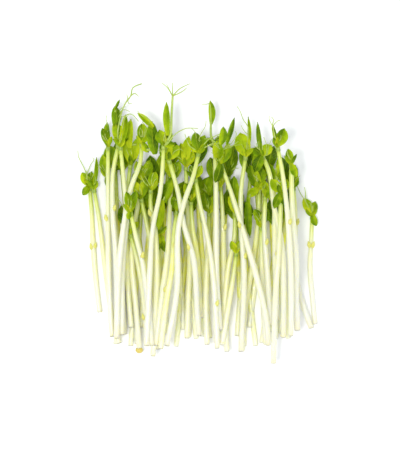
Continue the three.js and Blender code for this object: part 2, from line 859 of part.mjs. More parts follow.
// The tendril that ties a top to its neighbours, between the nearest spots with nothing on them.
function linkTendril(growth, neighbours, top) {
  const open = ([x, y, z]) => roundRest(x, y, LINK.radius, BITE) < z + LINK.radius + GAP;
  const ways = [];
  for (const own of growth.filter(open)) {
    for (const other of neighbours.filter(open)) {
      const length = Math.hypot(apart(own, other), LINK.steep * (own[2] - other[2]));
      if (apart(own, other) > LINK.shortest) ways.push({ own, other, length });
    }
  }
  ways.sort((a, b) => a.length - b.length);
  const lines = ways.slice(0, LINK.tries).map(({ own, other }) => linkLine(own, other));
  const { stations, heights } = lines.find(isClear) ?? lines[0];
  top.solids.push(lineSolid(stations, heights, stations.map(() => LINK.radius), 3));
  top.lines.push({ stations, heights, radius: LINK.radius });
}

function linkLine(from, to) {
  const count = Math.max(2, Math.round(apart(from, to) / LINK.step));
  const stations = [];
  for (let n = 0; n <= count; n++) {
    stations.push(mixed(from, to, n / count).slice(0, 2));
  }
  const start = stations.map((_, n) => between(from[2], to[2], n / count));
  const heights = layLine(stations, LINK.radius, start, LINK.radius, BITE, new Set([0, count]));
  return { stations, heights };
}

function isClear({ stations, heights }) {
  return lineSamples(stations).every(({ x, y, corners: [a, b], shares: [from, to] }) => {
    const height = heights[a] * from + heights[b] * to;
    return height > roundRest(x, y, LINK.radius, BITE) - GAP;
  });
}

// ---- putting the bunch together ----
function underShoots() {
  const { footSlots, firstSlot, slot, tuftGap, crownRow, footRow } = UNDER;
  const draw = drawFrom(UNDER.seed);
  const stray = () => (draw() - 0.5) * 2 * UNDER.stray;
  const tufts = [];
  for (let n = 0; n < UNDER.tufts; n++) {
    const first = firstSlot + n * (footSlots.length * slot + tuftGap);
    const shoots = footSlots.map((footSlot, crownSlot) => {
      const crown = [first + crownSlot * slot + stray(), between(...crownRow, draw())];
      const foot = [first + footSlot * slot + stray(), between(...footRow, draw())];
      const middle = mixed(crown, foot, 0.5);
      middle[0] += stray();
      const sides = crownSlot % 2 ? [1] : [-1, 1];
      const leaves = sides.map((side) => underLeaf(crown, side, draw));
      return { course: [crown, middle, foot], leaves, tendrils: [], scales: [], flat: true };
    });
    tufts.push({ name: `under_${n + 1}`, shoots });
  }
  return tufts;
}

function underLeaf([across, down], side, draw) {
  const { ahead, reach, lean, width } = UNDER.leaf;
  const tipReach = between(...reach, draw());
  const tip = [across + side * between(...lean, draw()), down - ahead - tipReach];
  return [across + side, down - ahead, ...tip, between(...width, draw())];
}

function meshOf(name, solid, look) {
  const { vertProperties, triVerts } = solid.getMesh();
  const geometry = new THREE.BufferGeometry();
  geometry.setAttribute('position', new THREE.Float32BufferAttribute(vertProperties, 3));
  geometry.setIndex(new THREE.Uint32BufferAttribute(triVerts, 1));
  const mesh = new THREE.Mesh(geometry, new THREE.MeshStandardMaterial(look));
  mesh.name = name;
  return mesh;
}

// One body: fused, with the hollows that the fusing seals filled and loose scraps dropped.
function joined(solids) {
  return biggest(wasm.Manifold.union(solids).simplify(SMOOTHING));
}

function biggest(solid) {
  return solid.decompose().reduce((best, body) => (body.volume() > best.volume() ? body : best));
}

// Where a top still touches a stem, it is hollowed clear of it.
function clearOf(stems, top) {
  let clear = top;
  for (const { solid, room } of stems) {
    if (clear.intersect(solid).volume() > 0) clear = clear.subtract(room);
  }
  return biggest(clear);
}

function settleTangle() {
  tangle.forEach((top, cell) => {
    pile[cell] = Math.max(pile[cell], top);
  });
  tangle.fill(0);
}

const bunch = new THREE.Group();
const stems = [];
const lowest = underShoots();
for (const { name, shoots } of lowest) {
  const crossing = shoots.map(layStem);
  stems.push(...crossing);
  bunch.add(meshOf(`stems_${name}`, joined(crossing.map(({ solid }) => solid)), PALE));
}
for (const { name, shoots } of lowest) {
  const neighbours = [];
  const tops = shoots.flatMap((shoot) => layTop(shoot, neighbours));
  bunch.add(meshOf(`tops_${name}`, clearOf(stems, joined(tops)), GREEN));
  settleTangle();
}
let stemNumber = 0;
for (const { name, shoots } of TUFTS) {
  const tops = [];
  const neighbours = [];
  for (const shoot of shoots) {
    const stem = layStem(shoot);
    stems.push(stem);
    stemNumber += 1;
    bunch.add(meshOf(`stem_${String(stemNumber).padStart(2, '0')}`, stem.solid, PALE));
    tops.push(...layTop(shoot, neighbours));
  }
  bunch.add(meshOf(`tops_${name}`, clearOf(stems, joined(tops)), GREEN));
  settleTangle();
}

export default bunch;
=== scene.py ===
import math
import random

import bpy
import numpy as np
from mathutils import Matrix, Vector
from mathutils.bvhtree import BVHTree


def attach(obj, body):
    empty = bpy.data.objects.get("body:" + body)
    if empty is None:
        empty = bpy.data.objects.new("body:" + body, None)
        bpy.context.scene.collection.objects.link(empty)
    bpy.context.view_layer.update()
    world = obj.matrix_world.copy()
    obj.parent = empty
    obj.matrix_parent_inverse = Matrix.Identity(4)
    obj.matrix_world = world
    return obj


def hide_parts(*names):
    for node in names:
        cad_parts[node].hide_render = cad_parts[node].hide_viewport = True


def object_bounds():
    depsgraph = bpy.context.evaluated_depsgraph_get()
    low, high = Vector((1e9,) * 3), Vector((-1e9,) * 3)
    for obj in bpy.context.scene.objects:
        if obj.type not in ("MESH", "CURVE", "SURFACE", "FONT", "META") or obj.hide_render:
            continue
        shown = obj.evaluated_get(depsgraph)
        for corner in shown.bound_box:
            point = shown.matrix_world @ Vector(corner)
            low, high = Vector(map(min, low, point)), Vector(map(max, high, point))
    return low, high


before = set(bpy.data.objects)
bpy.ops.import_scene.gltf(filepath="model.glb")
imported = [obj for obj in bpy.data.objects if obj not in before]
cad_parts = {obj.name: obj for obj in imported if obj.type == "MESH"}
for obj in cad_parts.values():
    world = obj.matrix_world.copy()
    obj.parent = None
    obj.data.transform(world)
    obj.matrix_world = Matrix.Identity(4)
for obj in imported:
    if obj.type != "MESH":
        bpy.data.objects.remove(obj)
cad_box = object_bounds()
bpy.ops.object.select_all(action="DESELECT")


# ---- White table top, lamp and camera ----------------------------------------------------
# The bunch lies loose on a plain white top, under soft studio light from above and from the
# left. The camera looks straight down. Places are given across and down a sheet of squares
# that are 0.45 mm wide, and the camera frames 400 by 468 of them.
SQUARE = 0.00045
SHEET_CENTRE = (197.6, 223.2)
FRAMED = (400, 468)
FRAME_CENTRE = (200, 234)
SHARP_HEIGHT = 0.010
CAMERA_HEIGHT = 1.1
SENSOR = 24
TABLE_SIZE, TABLE_DROP = 3, 0.0001
TABLE_COLOUR = (0.96, 0.965, 0.97, 1)
SKY_COLOUR, SKY_STRENGTH = (0.925, 0.962, 1, 1), 0.85
LEFT_LAMP = ((-0.18, -0.08, 1.1), 4.9, 0.19)
HIGH_LAMP = ((-0.02, 0.03, 1.25), 3.1, 0.5)
LAMP_COLOUR = (1, 0.985, 0.95)
GAMMA = 1.1


def place(across, down):
    return ((across - SHEET_CENTRE[0]) * SQUARE, (SHEET_CENTRE[1] - down) * SQUARE)


bpy.ops.mesh.primitive_plane_add(size=TABLE_SIZE, location=(0, 0, -TABLE_DROP))
table_top = bpy.context.object
table_top.name = "table_top"
bpy.ops.object.transform_apply(location=True)
white_board = bpy.data.materials.new("white_board")
white_board.use_nodes = True
board_shader = white_board.node_tree.nodes["Principled BSDF"]
board_shader.inputs["Base Color"].default_value = TABLE_COLOUR
board_shader.inputs["Roughness"].default_value = 0.9
board_shader.inputs["Specular IOR Level"].default_value = 0.1
table_top.data.materials.append(white_board)

bpy.ops.object.camera_add(location=(*place(*FRAME_CENTRE), CAMERA_HEIGHT))
camera = bpy.context.object
camera.data.sensor_fit = "VERTICAL"
camera.data.sensor_height = SENSOR
camera.data.lens = SENSOR * (CAMERA_HEIGHT - SHARP_HEIGHT) / (FRAMED[1] * SQUARE)
bpy.context.scene.camera = camera

sky = bpy.data.worlds.new("white_room")
sky.use_nodes = True
sky_shader = sky.node_tree.nodes["Background"]
sky_shader.inputs["Color"].default_value = SKY_COLOUR
sky_shader.inputs["Strength"].default_value = SKY_STRENGTH
bpy.context.scene.world = sky

for lamp_place, energy, width in (LEFT_LAMP, HIGH_LAMP):
    bpy.ops.object.light_add(type="AREA", location=lamp_place)
    lamp = bpy.context.object
    lamp.data.shape = "DISK"
    lamp.data.size = width
    lamp.data.energy = energy
    lamp.data.color = LAMP_COLOUR
    lamp.rotation_euler = (-Vector(lamp_place)).to_track_quat("-Z", "Y").to_euler()
bpy.context.scene.view_settings.view_transform = "Standard"
bpy.context.scene.view_settings.gamma = GAMMA


# ---- Stems -------------------------------------------------------------------------------
# Each shoot has one long stem, grown close among its neighbours and so nearly white, waxy and
# a little see-through. It turns yellow-green towards the crown and its foot is cut square.
# A straight stem is modelled once. Each copy is bent along its course from crown to foot.
STEM_COURSES = [
    [(89, 190), (91, 215), (92, 240), (95, 280), (99, 313)],
    [(94, 192), (99, 222), (104, 262), (112, 320), (119, 344)],
    [(313, 219), (312, 242), (311, 270), (314, 305), (316, 325)],
    [(107, 180), (112, 205), (117, 240), (122, 300), (124, 335)],
    [(130, 168), (127, 190), (125, 215), (126, 245), (128, 290), (131, 328)],
    [(142, 184), (138, 205), (133, 235), (132, 265), (136, 310), (139, 350)],
    [(131, 237), (137, 260), (142, 285), (145, 315), (146, 345)],
    [(142, 202), (147, 226), (152, 255), (155, 305), (158, 350)],
    [(160, 238), (159, 262), (158, 310), (156, 346)],
    [(151, 193), (151, 208), (156, 235), (157, 290), (153, 356)],
    [(186, 170), (187, 200), (190, 250), (188, 305), (187, 339)],
    [(172, 182), (170, 205), (168, 250), (163, 290), (156, 345)],
    [(177, 214), (174, 235), (172, 270), (166, 305), (161, 348)],
    [(191, 205), (193, 230), (197, 256), (199, 290), (202, 318)],
    [(209, 216), (208, 240), (206, 300), (207, 345)],
    [(221, 190), (223, 222), (224, 280), (224, 318)],
    [(235, 216), (234, 240), (228, 270), (225, 310), (227, 352)],
    [(236, 256), (232, 285), (226, 320), (222, 345)],
    [(259, 192), (258, 222), (253, 262), (246, 305), (242, 352)],
    [(261, 230), (262, 270), (264, 310), (266, 345)],
    [(265, 200), (264, 230), (267, 270), (271, 325)],
    [(274, 186), (274, 225), (275, 265), (277, 320)],
    [(294, 190), (296, 225), (295, 259), (300, 293), (312, 329)],
    [(108, 150), (108, 190), (108, 250), (110, 310), (112, 337)],
    [(118, 148), (113, 175), (113, 214), (116, 255), (117, 310), (117, 336)],
    [(121, 150), (125, 190), (127, 220), (123, 265), (122, 335)],
    [(142, 147), (140, 165), (131, 190), (124, 228), (119, 275), (117, 338)],
    [(132, 216), (138, 243), (144, 268), (149, 310), (152, 345)],
    [(170, 164), (178, 192), (184, 225), (194, 262), (197, 310), (199, 335)],
    [(164, 150), (161, 190), (153, 230), (150, 280), (147, 345)],
    [(215, 152), (216, 200), (216, 250), (217, 290), (220, 330)],
    [(196, 182), (200, 205), (208, 241), (213, 277), (216, 320), (217, 348)],
    [(198, 157), (193, 178), (184, 204), (178, 235), (177, 290), (167, 345)],
    [(245, 160), (241, 190), (241, 225), (244, 275), (242, 330), (241, 352)],
    [(222, 168), (232, 196), (245, 238), (257, 280), (266, 318), (268, 345)],
    [(263, 160), (269, 175), (273, 205), (282, 255), (283, 337)],
    [(280, 197), (278, 250), (275, 290), (273, 363)],
    [(290, 169), (291, 210), (295, 260), (295, 290), (297, 330)],
    [(277, 152), (282, 180), (286, 215), (289, 262), (290, 300), (290, 335)],
]
STOUT_STEMS = (31, 38)
PALE_STEMS = (3, 20, 21, 22, 23)
FIRST_UPPER_STEM = 24
# How much painted shade, yellow-olive, a lower and an upper stem get, deeper ones the more.
LOWER_PAINTED_SHADE, UPPER_PAINTED_SHADE = (0.4, 1.1), (0, 0.25)
STEM_RADIUS = 0.00135
STOUTER = 1.12
STEM_LENGTH = 0.08
STEM_SIDES = 20
STEM_RINGS = 46
STEM_SMOOTHING = math.radians(50)
CUT_BEVEL, CUT_RIM, CUT_DISH = 0.22, 0.3, 0.996
GIRTHS = [(0, 0.66), (0.12, 0.74), (0.3, 0.82), (0.55, 1), (1, 0.9)]
FULLNESS, RIPPLE, RIPPLES = (0.92, 1), (0.01, 0.035), 17
ANY_PHASE = (0, 6)
STEM_TINTS = [(0, (0.42, 0.54, 0.03)), (0.07, (0.60, 0.66, 0.20)), (0.2, (0.67, 0.69, 0.42)),
              (0.4, (0.71, 0.71, 0.56)), (0.9, (0.73, 0.73, 0.65)), (1, (0.73, 0.69, 0.52))]
# Painted shade: the colour of the shade deep in the pile, from the crown to the foot.
PAINTED_SHADE_TINTS = [(0, (0.26, 0.38, 0.01)), (0.16, (0.46, 0.55, 0.01)), (0.34, (0.90, 0.88, 0.05)),
               (0.6, (0.99, 0.96, 0.20)), (0.8, (0.99, 0.97, 0.44)), (1, (0.97, 0.94, 0.63))]
CURVE_STEPS = 12
COURSE_POINTS = 60
SMOOTHED_OVER = 9
FLAT_BELOW = math.cos(math.pi / 6)
COLOUR_A, COLOUR_B, MIXED_COLOUR = 6, 7, 2


# A smooth curve through the points (Catmull-Rom), as evenly spaced points.
def smooth_course(points, count):
    points = np.array(points, dtype=float)
    ends = np.vstack([points[:1], points, points[-1:]])
    fine = []
    for k in range(len(points) - 1):
        before, start, end, after = ends[k:k + 4]
        for t in np.linspace(0, 1, CURVE_STEPS, endpoint=False):
            fine.append(0.5 * (2 * start + (end - before) * t
                               + (2 * before - 5 * start + 4 * end - after) * t ** 2
                               + (3 * start - before - 3 * end + after) * t ** 3))
    fine.append(points[-1])
    fine = np.array(fine)
    along = np.append(0, np.cumsum(np.linalg.norm(np.diff(fine, axis=0), axis=1)))
    even = np.linspace(0, along[-1], count)
    return np.column_stack([np.interp(even, along, column) for column in fine.T])


def tree_of(node):
    return BVHTree.FromObject(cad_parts[node], bpy.context.evaluated_depsgraph_get())


# The middle of a stem above each point of its course in plan, from the underside of its solid,
# which has six sides and lies on a flat one.
def stem_line(tree, plan, radius):
    found = []
    for k, (x, y) in enumerate(plan):
        hit = tree.ray_cast(Vector((x, y, -1)), Vector((0, 0, 1)))[0]
        if hit:
            found.append((k, hit.z + radius * FLAT_BELOW))
    heights = np.interp(range(len(plan)), *zip(*found))
    padded = np.pad(heights, SMOOTHED_OVER // 2, mode="reflect", reflect_type="odd")
    smooth = np.convolve(padded, np.ones(SMOOTHED_OVER) / SMOOTHED_OVER, mode="valid")
    return np.column_stack([plan, smooth])


# Bends a straight thing that stands on the origin along the line, and sets how thick it is.
def bend_along(thing, line, length, thickness):
    mesh = thing.data
    spots = np.empty(len(mesh.vertices) * 3)
    mesh.vertices.foreach_get("co", spots)
    spots = spots.reshape(-1, 3)
    steps = np.append(0, np.cumsum(np.linalg.norm(np.diff(line, axis=0), axis=1)))
    share = spots[:, 2] / length
    at = share * steps[-1]
    inside = np.clip(at, 0, steps[-1])
    heading = np.gradient(line, steps, axis=0)
    middle, ahead = (np.column_stack([np.interp(inside, steps, column) for column in rows.T])
                     for rows in (line, heading))
    ahead /= np.linalg.norm(ahead, axis=1)[:, None]
    right = np.cross(ahead, (0, 0, 1))
    right /= np.linalg.norm(right, axis=1)[:, None]
    above = np.cross(right, ahead)
    girth = thickness(np.clip(share, 0, 1))[:, None]
    spots = (middle + (at - inside)[:, None] * ahead
             + spots[:, :1] * girth * right + spots[:, 1:2] * girth * above)
    mesh.vertices.foreach_set("co", spots.ravel())
    mesh.update()


def copy_of(model, name):
    copy = model.copy()
    copy.data = model.data.copy()
    copy.name = copy.data.name = name
    bpy.context.collection.objects.link(copy)
    return copy


def joined_as(name, things):
    bpy.ops.object.select_all(action="DESELECT")
    for thing in things:
        thing.select_set(True)
    bpy.context.view_layer.objects.active = things[0]
    bpy.ops.object.join()
    piece = bpy.context.object
    piece.name = piece.data.name = name
    piece.select_set(False)
    return piece


def mark(thing, name, values):
    numbers = np.broadcast_to(np.asarray(values, dtype=float), len(thing.data.vertices))
    attribute = thing.data.attributes.get(name) or thing.data.attributes.new(name, "FLOAT", "POINT")
    attribute.data.foreach_set("value", numbers)


def heights_of(thing):
    return np.array([vertex.co.z for vertex in thing.data.vertices])


# A rod that stands on the origin, with rings cut only across its long edges so that it bends.
def ringed_rod(name, sides, radius, length, rings):
    bpy.ops.mesh.primitive_cylinder_add(vertices=sides, radius=radius, depth=length,
                                        location=(0, 0, length / 2))
    rod = bpy.context.object
    rod.name = name
    bpy.ops.object.transform_apply(location=True)
    bpy.ops.object.mode_set(mode="EDIT")
    bpy.ops.mesh.select_mode(type="EDGE")
    bpy.ops.mesh.select_all(action="DESELECT")
    bpy.ops.object.mode_set(mode="OBJECT")
    for edge in rod.data.edges:
        low, high = (rod.data.vertices[v].co.z for v in edge.vertices)
        edge.select = abs(high - low) > length / 2
    bpy.ops.object.mode_set(mode="EDIT")
    bpy.ops.mesh.subdivide(number_cuts=rings)
    bpy.ops.mesh.select_mode(type="FACE")
    bpy.ops.mesh.select_all(action="DESELECT")
    bpy.ops.object.mode_set(mode="OBJECT")
    return rod


# The stem's two ends are cut square, with a worn edge and a slightly sunken face.
straight_stem = ringed_rod("straight_stem", STEM_SIDES, STEM_RADIUS, STEM_LENGTH, STEM_RINGS)
for face in straight_stem.data.polygons:
    face.select = abs(face.normal.z) > 0.9
bpy.ops.object.mode_set(mode="EDIT")
bpy.ops.mesh.bevel(offset=STEM_RADIUS * CUT_BEVEL, segments=2)
bpy.ops.mesh.inset(thickness=STEM_RADIUS * CUT_RIM)
bpy.ops.transform.resize(value=(1, 1, CUT_DISH), center_override=(0, 0, STEM_LENGTH / 2))
bpy.ops.object.mode_set(mode="OBJECT")
bpy.ops.object.shade_smooth_by_angle(angle=STEM_SMOOTHING)
mark(straight_stem, "down_the_stem", heights_of(straight_stem) / STEM_LENGTH)


def set_tints(ramp, tints):
    stops = ramp.color_ramp.elements
    stops.remove(stops[1])
    stops[0].position, stops[0].color = tints[0][0], (*tints[0][1], 1)
    for spot, colour in tints[1:]:
        stops.new(spot).color = (*colour, 1)


# The tint runs down the stem. Painted shade, yellower, is mottled over it, the more so on deeper
# stems.
waxy_stem = bpy.data.materials.new("waxy_pale_stem")
waxy_stem.use_nodes = True
nodes, links = waxy_stem.node_tree.nodes, waxy_stem.node_tree.links
stem_shader = nodes["Principled BSDF"]
stem_shader.inputs["Roughness"].default_value = 0.34
stem_shader.inputs["Subsurface Weight"].default_value = 1
stem_shader.inputs["Subsurface Radius"].default_value = (1, 0.9, 0.45)
stem_shader.inputs["Subsurface Scale"].default_value = 0.0035
stem_shader.inputs["Coat Weight"].default_value = 0.15
down = nodes.new("ShaderNodeAttribute")
down.attribute_name = "down_the_stem"
painted_shade_amount = nodes.new("ShaderNodeAttribute")
painted_shade_amount.attribute_name = "painted_shade_amount"
tint = nodes.new("ShaderNodeValToRGB")
set_tints(tint, STEM_TINTS)
painted_shade_tint = nodes.new("ShaderNodeValToRGB")
set_tints(painted_shade_tint, PAINTED_SHADE_TINTS)
fibre_place = nodes.new("ShaderNodeTexCoord")
fibre_scale = nodes.new("ShaderNodeMapping")
fibre_scale.inputs["Scale"].default_value = (26, 3, 1)
fibres = nodes.new("ShaderNodeTexNoise")
fibres.inputs["Scale"].default_value = 5
fibres.inputs["Detail"].default_value = 4
mottle = nodes.new("ShaderNodeTexNoise")
mottle.inputs["Scale"].default_value = 260
mottle.inputs["Detail"].default_value = 3
painted_shade_mix = nodes.new("ShaderNodeMix")
painted_shade_mix.data_type = "RGBA"
mottled_painted_shade = nodes.new("ShaderNodeMath")
mottled_painted_shade.operation = "MULTIPLY"
groove = nodes.new("ShaderNodeBump")
groove.inputs["Strength"].default_value = 0.25
groove.inputs["Distance"].default_value = 0.00012
links.new(down.outputs["Fac"], tint.inputs["Fac"])
links.new(down.outputs["Fac"], painted_shade_tint.inputs["Fac"])
links.new(painted_shade_tint.outputs["Color"], painted_shade_mix.inputs[COLOUR_B])
links.new(fibre_place.outputs["UV"], fibre_scale.inputs["Vector"])
links.new(fibre_scale.outputs["Vector"], fibres.inputs["Vector"])
links.new(fibre_place.outputs["Object"], mottle.inputs["Vector"])
links.new(mottle.outputs["Fac"], mottled_painted_shade.inputs[0])
links.new(painted_shade_amount.outputs["Fac"], mottled_painted_shade.inputs[1])
links.new(mottled_painted_shade.outputs["Value"], painted_shade_mix.inputs["Factor"])
links.new(tint.outputs["Color"], painted_shade_mix.inputs[COLOUR_A])
links.new(painted_shade_mix.outputs[MIXED_COLOUR], stem_shader.inputs["Base Color"])
links.new(fibres.outputs["Fac"], groove.inputs["Height"])
links.new(groove.outputs["Normal"], stem_shader.inputs["Normal"])
straight_stem.data.materials.append(waxy_stem)


# Slender at the crown, full from the middle down, and never quite even.
def stem_girth(chance, stout):
    phase = chance.uniform(*ANY_PHASE)
    ripple = chance.uniform(*RIPPLE)
    full = stout * chance.uniform(*FULLNESS)
    return lambda share: full * (1 + ripple * np.sin(share * RIPPLES + phase)) * np.interp(
        share, *zip(*GIRTHS))


# Nothing sinks into the table top or reaches beyond the outermost solids.
def keep_in_bounds(piece):
    spots = np.empty(len(piece.data.vertices) * 3)
    piece.data.vertices.foreach_get("co", spots)
    piece.data.vertices.foreach_set("co", np.clip(spots.reshape(-1, 3), *cad_box).ravel())
    piece.data.update()


# The way a stem points at its crown.
def heading_of(line):
    return (line[0] - line[2]) / np.linalg.norm(line[0] - line[2])


crowns = {}
headings = {}
stem_lines = {}
for number, course in enumerate(STEM_COURSES, start=1):
    node = f"stem_{number:02d}"
    chance = random.Random(number)
    stout = STOUTER if number in STOUT_STEMS else 1
    plan = smooth_course([place(*square) for square in course], COURSE_POINTS)
    line = stem_line(tree_of(node), plan, STEM_RADIUS * stout)
    stem = copy_of(straight_stem, f"pale_{node}")
    bend_along(stem, line, STEM_LENGTH, stem_girth(chance, stout))
    keep_in_bounds(stem)
    pale = number >= FIRST_UPPER_STEM or number in PALE_STEMS
    # Stems deep in the pile get more painted shade than those lying on top.
    mark(stem, "painted_shade_amount", chance.uniform(*(UPPER_PAINTED_SHADE if pale else LOWER_PAINTED_SHADE)))
    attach(stem, "root")
    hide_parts(node)
    stem_lines[number] = line
    crowns[number] = line[0]
    headings[number] = heading_of(line)


# ---- Lowest stems ------------------------------------------------------------------------
# The lowest shoots lie flat on the table top, nine to a tuft, and their stems are pressed
# together where they cross. They are grown like the others, but painted yellower in painted shade.
# Crowns and feet stand in slots across the bunch, strayed by a repeatable draw.
LOWEST_TUFTS = 3
FOOT_SLOTS = (1, 3, 0, 5, 2, 7, 4, 8, 6)
FIRST_SLOT, SLOT, TUFT_GAP = 116, 6.4, 3.2
CROWN_ROWS, FOOT_ROWS = (168, 234), (328, 348)
STRAY = 1.5
LEAF_REACH, LEAF_LEAN, LEAF_WIDTH = (22, 32), (4, 10), (12, 16)
LEAF_AHEAD = 4
# The most painted shade, yellow-olive, for the lowest stems.
LOWEST_PAINTED_SHADE = (1.3, 1.9)
DRAW_SEED = 23


# The draw (mulberry32) gives the same numbers as the one that laid the solids.
def repeatable_draw(seed):
    whole = 0xFFFFFFFF
    state = seed
    while True:
        state = (state + 0x6D2B79F5) & whole
        mixed = ((state ^ (state >> 15)) * (1 | state)) & whole
        mixed = ((mixed + ((mixed ^ (mixed >> 7)) * (61 | mixed) & whole)) & whole) ^ mixed
        yield (mixed ^ (mixed >> 14)) / (whole + 1)


draws = repeatable_draw(DRAW_SEED)
tufts = {}
leaves = {}


def between(limits):
    return limits[0] + (limits[1] - limits[0]) * next(draws)


def stray():
    return (next(draws) - 0.5) * 2 * STRAY


for tuft in range(LOWEST_TUFTS):
    first = FIRST_SLOT + tuft * (len(FOOT_SLOTS) * SLOT + TUFT_GAP)
    names = []
    pressed = tree_of(f"stems_under_{tuft + 1}")
    for crown_slot, foot_slot in enumerate(FOOT_SLOTS):
        name = f"low_{tuft + 1}_{crown_slot + 1}"
        crown = (first + crown_slot * SLOT + stray(), between(CROWN_ROWS))
        foot = (first + foot_slot * SLOT + stray(), between(FOOT_ROWS))
        middle = ((crown[0] + foot[0]) / 2 + stray(), (crown[1] + foot[1]) / 2)
        leaves[name] = []
        for side in (1,) if crown_slot % 2 else (-1, 1):
            reach = between(LEAF_REACH)
            tip = (crown[0] + side * between(LEAF_LEAN), crown[1] - LEAF_AHEAD - reach)
            leaves[name].append((crown[0] + side, crown[1] - LEAF_AHEAD, *tip,
                                 between(LEAF_WIDTH)))
        chance = random.Random(name)
        plan = smooth_course([place(*crown), place(*middle), place(*foot)], COURSE_POINTS)
        line = stem_line(pressed, plan, STEM_RADIUS)
        stem = copy_of(straight_stem, f"pale_stem_{name}")
        bend_along(stem, line, STEM_LENGTH, stem_girth(chance, 1))
        keep_in_bounds(stem)
        # Painted shade: the lowest stems get the most.
        mark(stem, "painted_shade_amount", chance.uniform(*LOWEST_PAINTED_SHADE))
        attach(stem, "root")
        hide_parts(f"stems_under_{tuft + 1}")
        names.append(name)
        crowns[name] = line[0]
        headings[name] = heading_of(line)
    tufts[f"under_{tuft + 1}"] = names


# ---- Scale leaves and the husk -----------------------------------------------------------
# Small thick pointed leaves clasp many stems part of the way down, yellow-green with a greener
# tip. One foot still wears the wrinkled yellow skin of its pea. Both sit sunk in their stem.
SCALE_LEAVES = {
    1: [(247, -1), (246, 1)], 3: [(245, 1), (245, -1)], 4: [(243, -1)], 7: [(317, -1)],
    9: [(318, -1)], 10: [(213, -1)], 12: [(289, 1)], 13: [(245, 1)], 16: [(227, 1)],
    19: [(217, -1)], 21: [(242, 1)], 22: [(253, 1)], 23: [(222, 1)], 24: [(218, -1)],
    25: [(208, 1)], 28: [(255, 1)], 29: [(247, -1)], 32: [(303, 1)], 34: [(256, 1)],
    35: [(225, -1)], 39: [(222, 1)],
}
SCALE_LEAF_SIZE = (0.00095, 0.0019, 0.00075)
SCALE_LEAF_SEAT = 0.62
SCALE_LEAF_LEAN = 0.35
SCALE_LEAF_COLOURS = ((0.58, 0.58, 0.07), (0.74, 0.70, 0.18))
POINTED_FROM = ((0.05, 0.86), (0.35, 0.82), (0.6, 0.74), (0.8, 0.6), (0.93, 0.5))
POINTED_LONGER = 1.04
HUSK_STEM = 6
HUSK_SIZE = (0.0017, 0.0015, 0.00135)
HUSK_SHIFT = (0, -0.0002, 0.0001)
HUSK_COLOURS = ((0.56, 0.42, 0.06), (0.74, 0.62, 0.16))
SKIN_SPREAD = (0.35, 0.68)


# A thick pointed thing that lies along Y: a ball drawn out to a point at one end.
def pointed(name, size, material):
    bpy.ops.mesh.primitive_ico_sphere_add(subdivisions=3, radius=1)
    thing = bpy.context.object
    thing.name = name
    bpy.ops.object.mode_set(mode="EDIT")
    for start, narrower in POINTED_FROM:
        bpy.ops.mesh.select_all(action="DESELECT")
        bpy.ops.object.mode_set(mode="OBJECT")
        for vertex in thing.data.vertices:
            vertex.select = vertex.co.y > start
        bpy.ops.object.mode_set(mode="EDIT")
        bpy.ops.mesh.select_mode(type="VERT")
        bpy.ops.transform.resize(value=(narrower, POINTED_LONGER, narrower),
                                 center_override=(0, start, 0))
    bpy.ops.object.mode_set(mode="OBJECT")
    thing.scale = size
    bpy.ops.object.transform_apply(scale=True)
    bpy.ops.object.shade_smooth()
    thing.data.materials.append(material)
    mark(thing, "down_the_stem", 0)
    thing.select_set(False)
    return thing


# A tender skin that is mottled from one colour to the other, and as fine as its grain.
def noisy_skin(name, colours, grain, roughness):
    skin = bpy.data.materials.new(name)
    skin.use_nodes = True
    nodes, links = skin.node_tree.nodes, skin.node_tree.links
    shader = nodes["Principled BSDF"]
    shader.inputs["Roughness"].default_value = roughness
    shader.inputs["Subsurface Weight"].default_value = 0.4
    shader.inputs["Subsurface Radius"].default_value = (0.8, 1, 0.3)
    shader.inputs["Subsurface Scale"].default_value = 0.0008
    where = nodes.new("ShaderNodeTexCoord")
    grains = nodes.new("ShaderNodeTexNoise")
    grains.inputs["Scale"].default_value = grain
    grains.inputs["Detail"].default_value = 5
    ramp = nodes.new("ShaderNodeValToRGB")
    for stop, spot, colour in zip(ramp.color_ramp.elements, SKIN_SPREAD, colours):
        stop.position, stop.color = spot, (*colour, 1)
    bump = nodes.new("ShaderNodeBump")
    bump.inputs["Strength"].default_value = 0.3
    bump.inputs["Distance"].default_value = 0.00015
    links.new(where.outputs["Object"], grains.inputs["Vector"])
    links.new(grains.outputs["Fac"], ramp.inputs["Fac"])
    links.new(ramp.outputs["Color"], shader.inputs["Base Color"])
    links.new(grains.outputs["Fac"], bump.inputs["Height"])
    links.new(bump.outputs["Normal"], shader.inputs["Normal"])
    return skin


scale_leaf = pointed("scale_leaf", SCALE_LEAF_SIZE,
                     noisy_skin("scale_leaf_skin", SCALE_LEAF_COLOURS, 900, 0.5))
bpy.ops.mesh.primitive_ico_sphere_add(subdivisions=4, radius=1)
husk = bpy.context.object
husk.scale = HUSK_SIZE
bpy.ops.object.transform_apply(scale=True)
bpy.ops.object.shade_smooth()
husk.data.materials.append(noisy_skin("husk_skin", HUSK_COLOURS, 1400, 0.6))
husk.select_set(False)


# Turns a thing that lies along Y to the heading, and moves it to its place in its own mesh.
def set_down(thing, spot, heading, lean=0.0):
    ahead = Vector(heading) + Vector((0, 0, lean))
    thing.data.transform(ahead.to_track_quat("Y", "Z").to_matrix().to_4x4())
    thing.data.transform(Matrix.Translation(Vector(spot)))


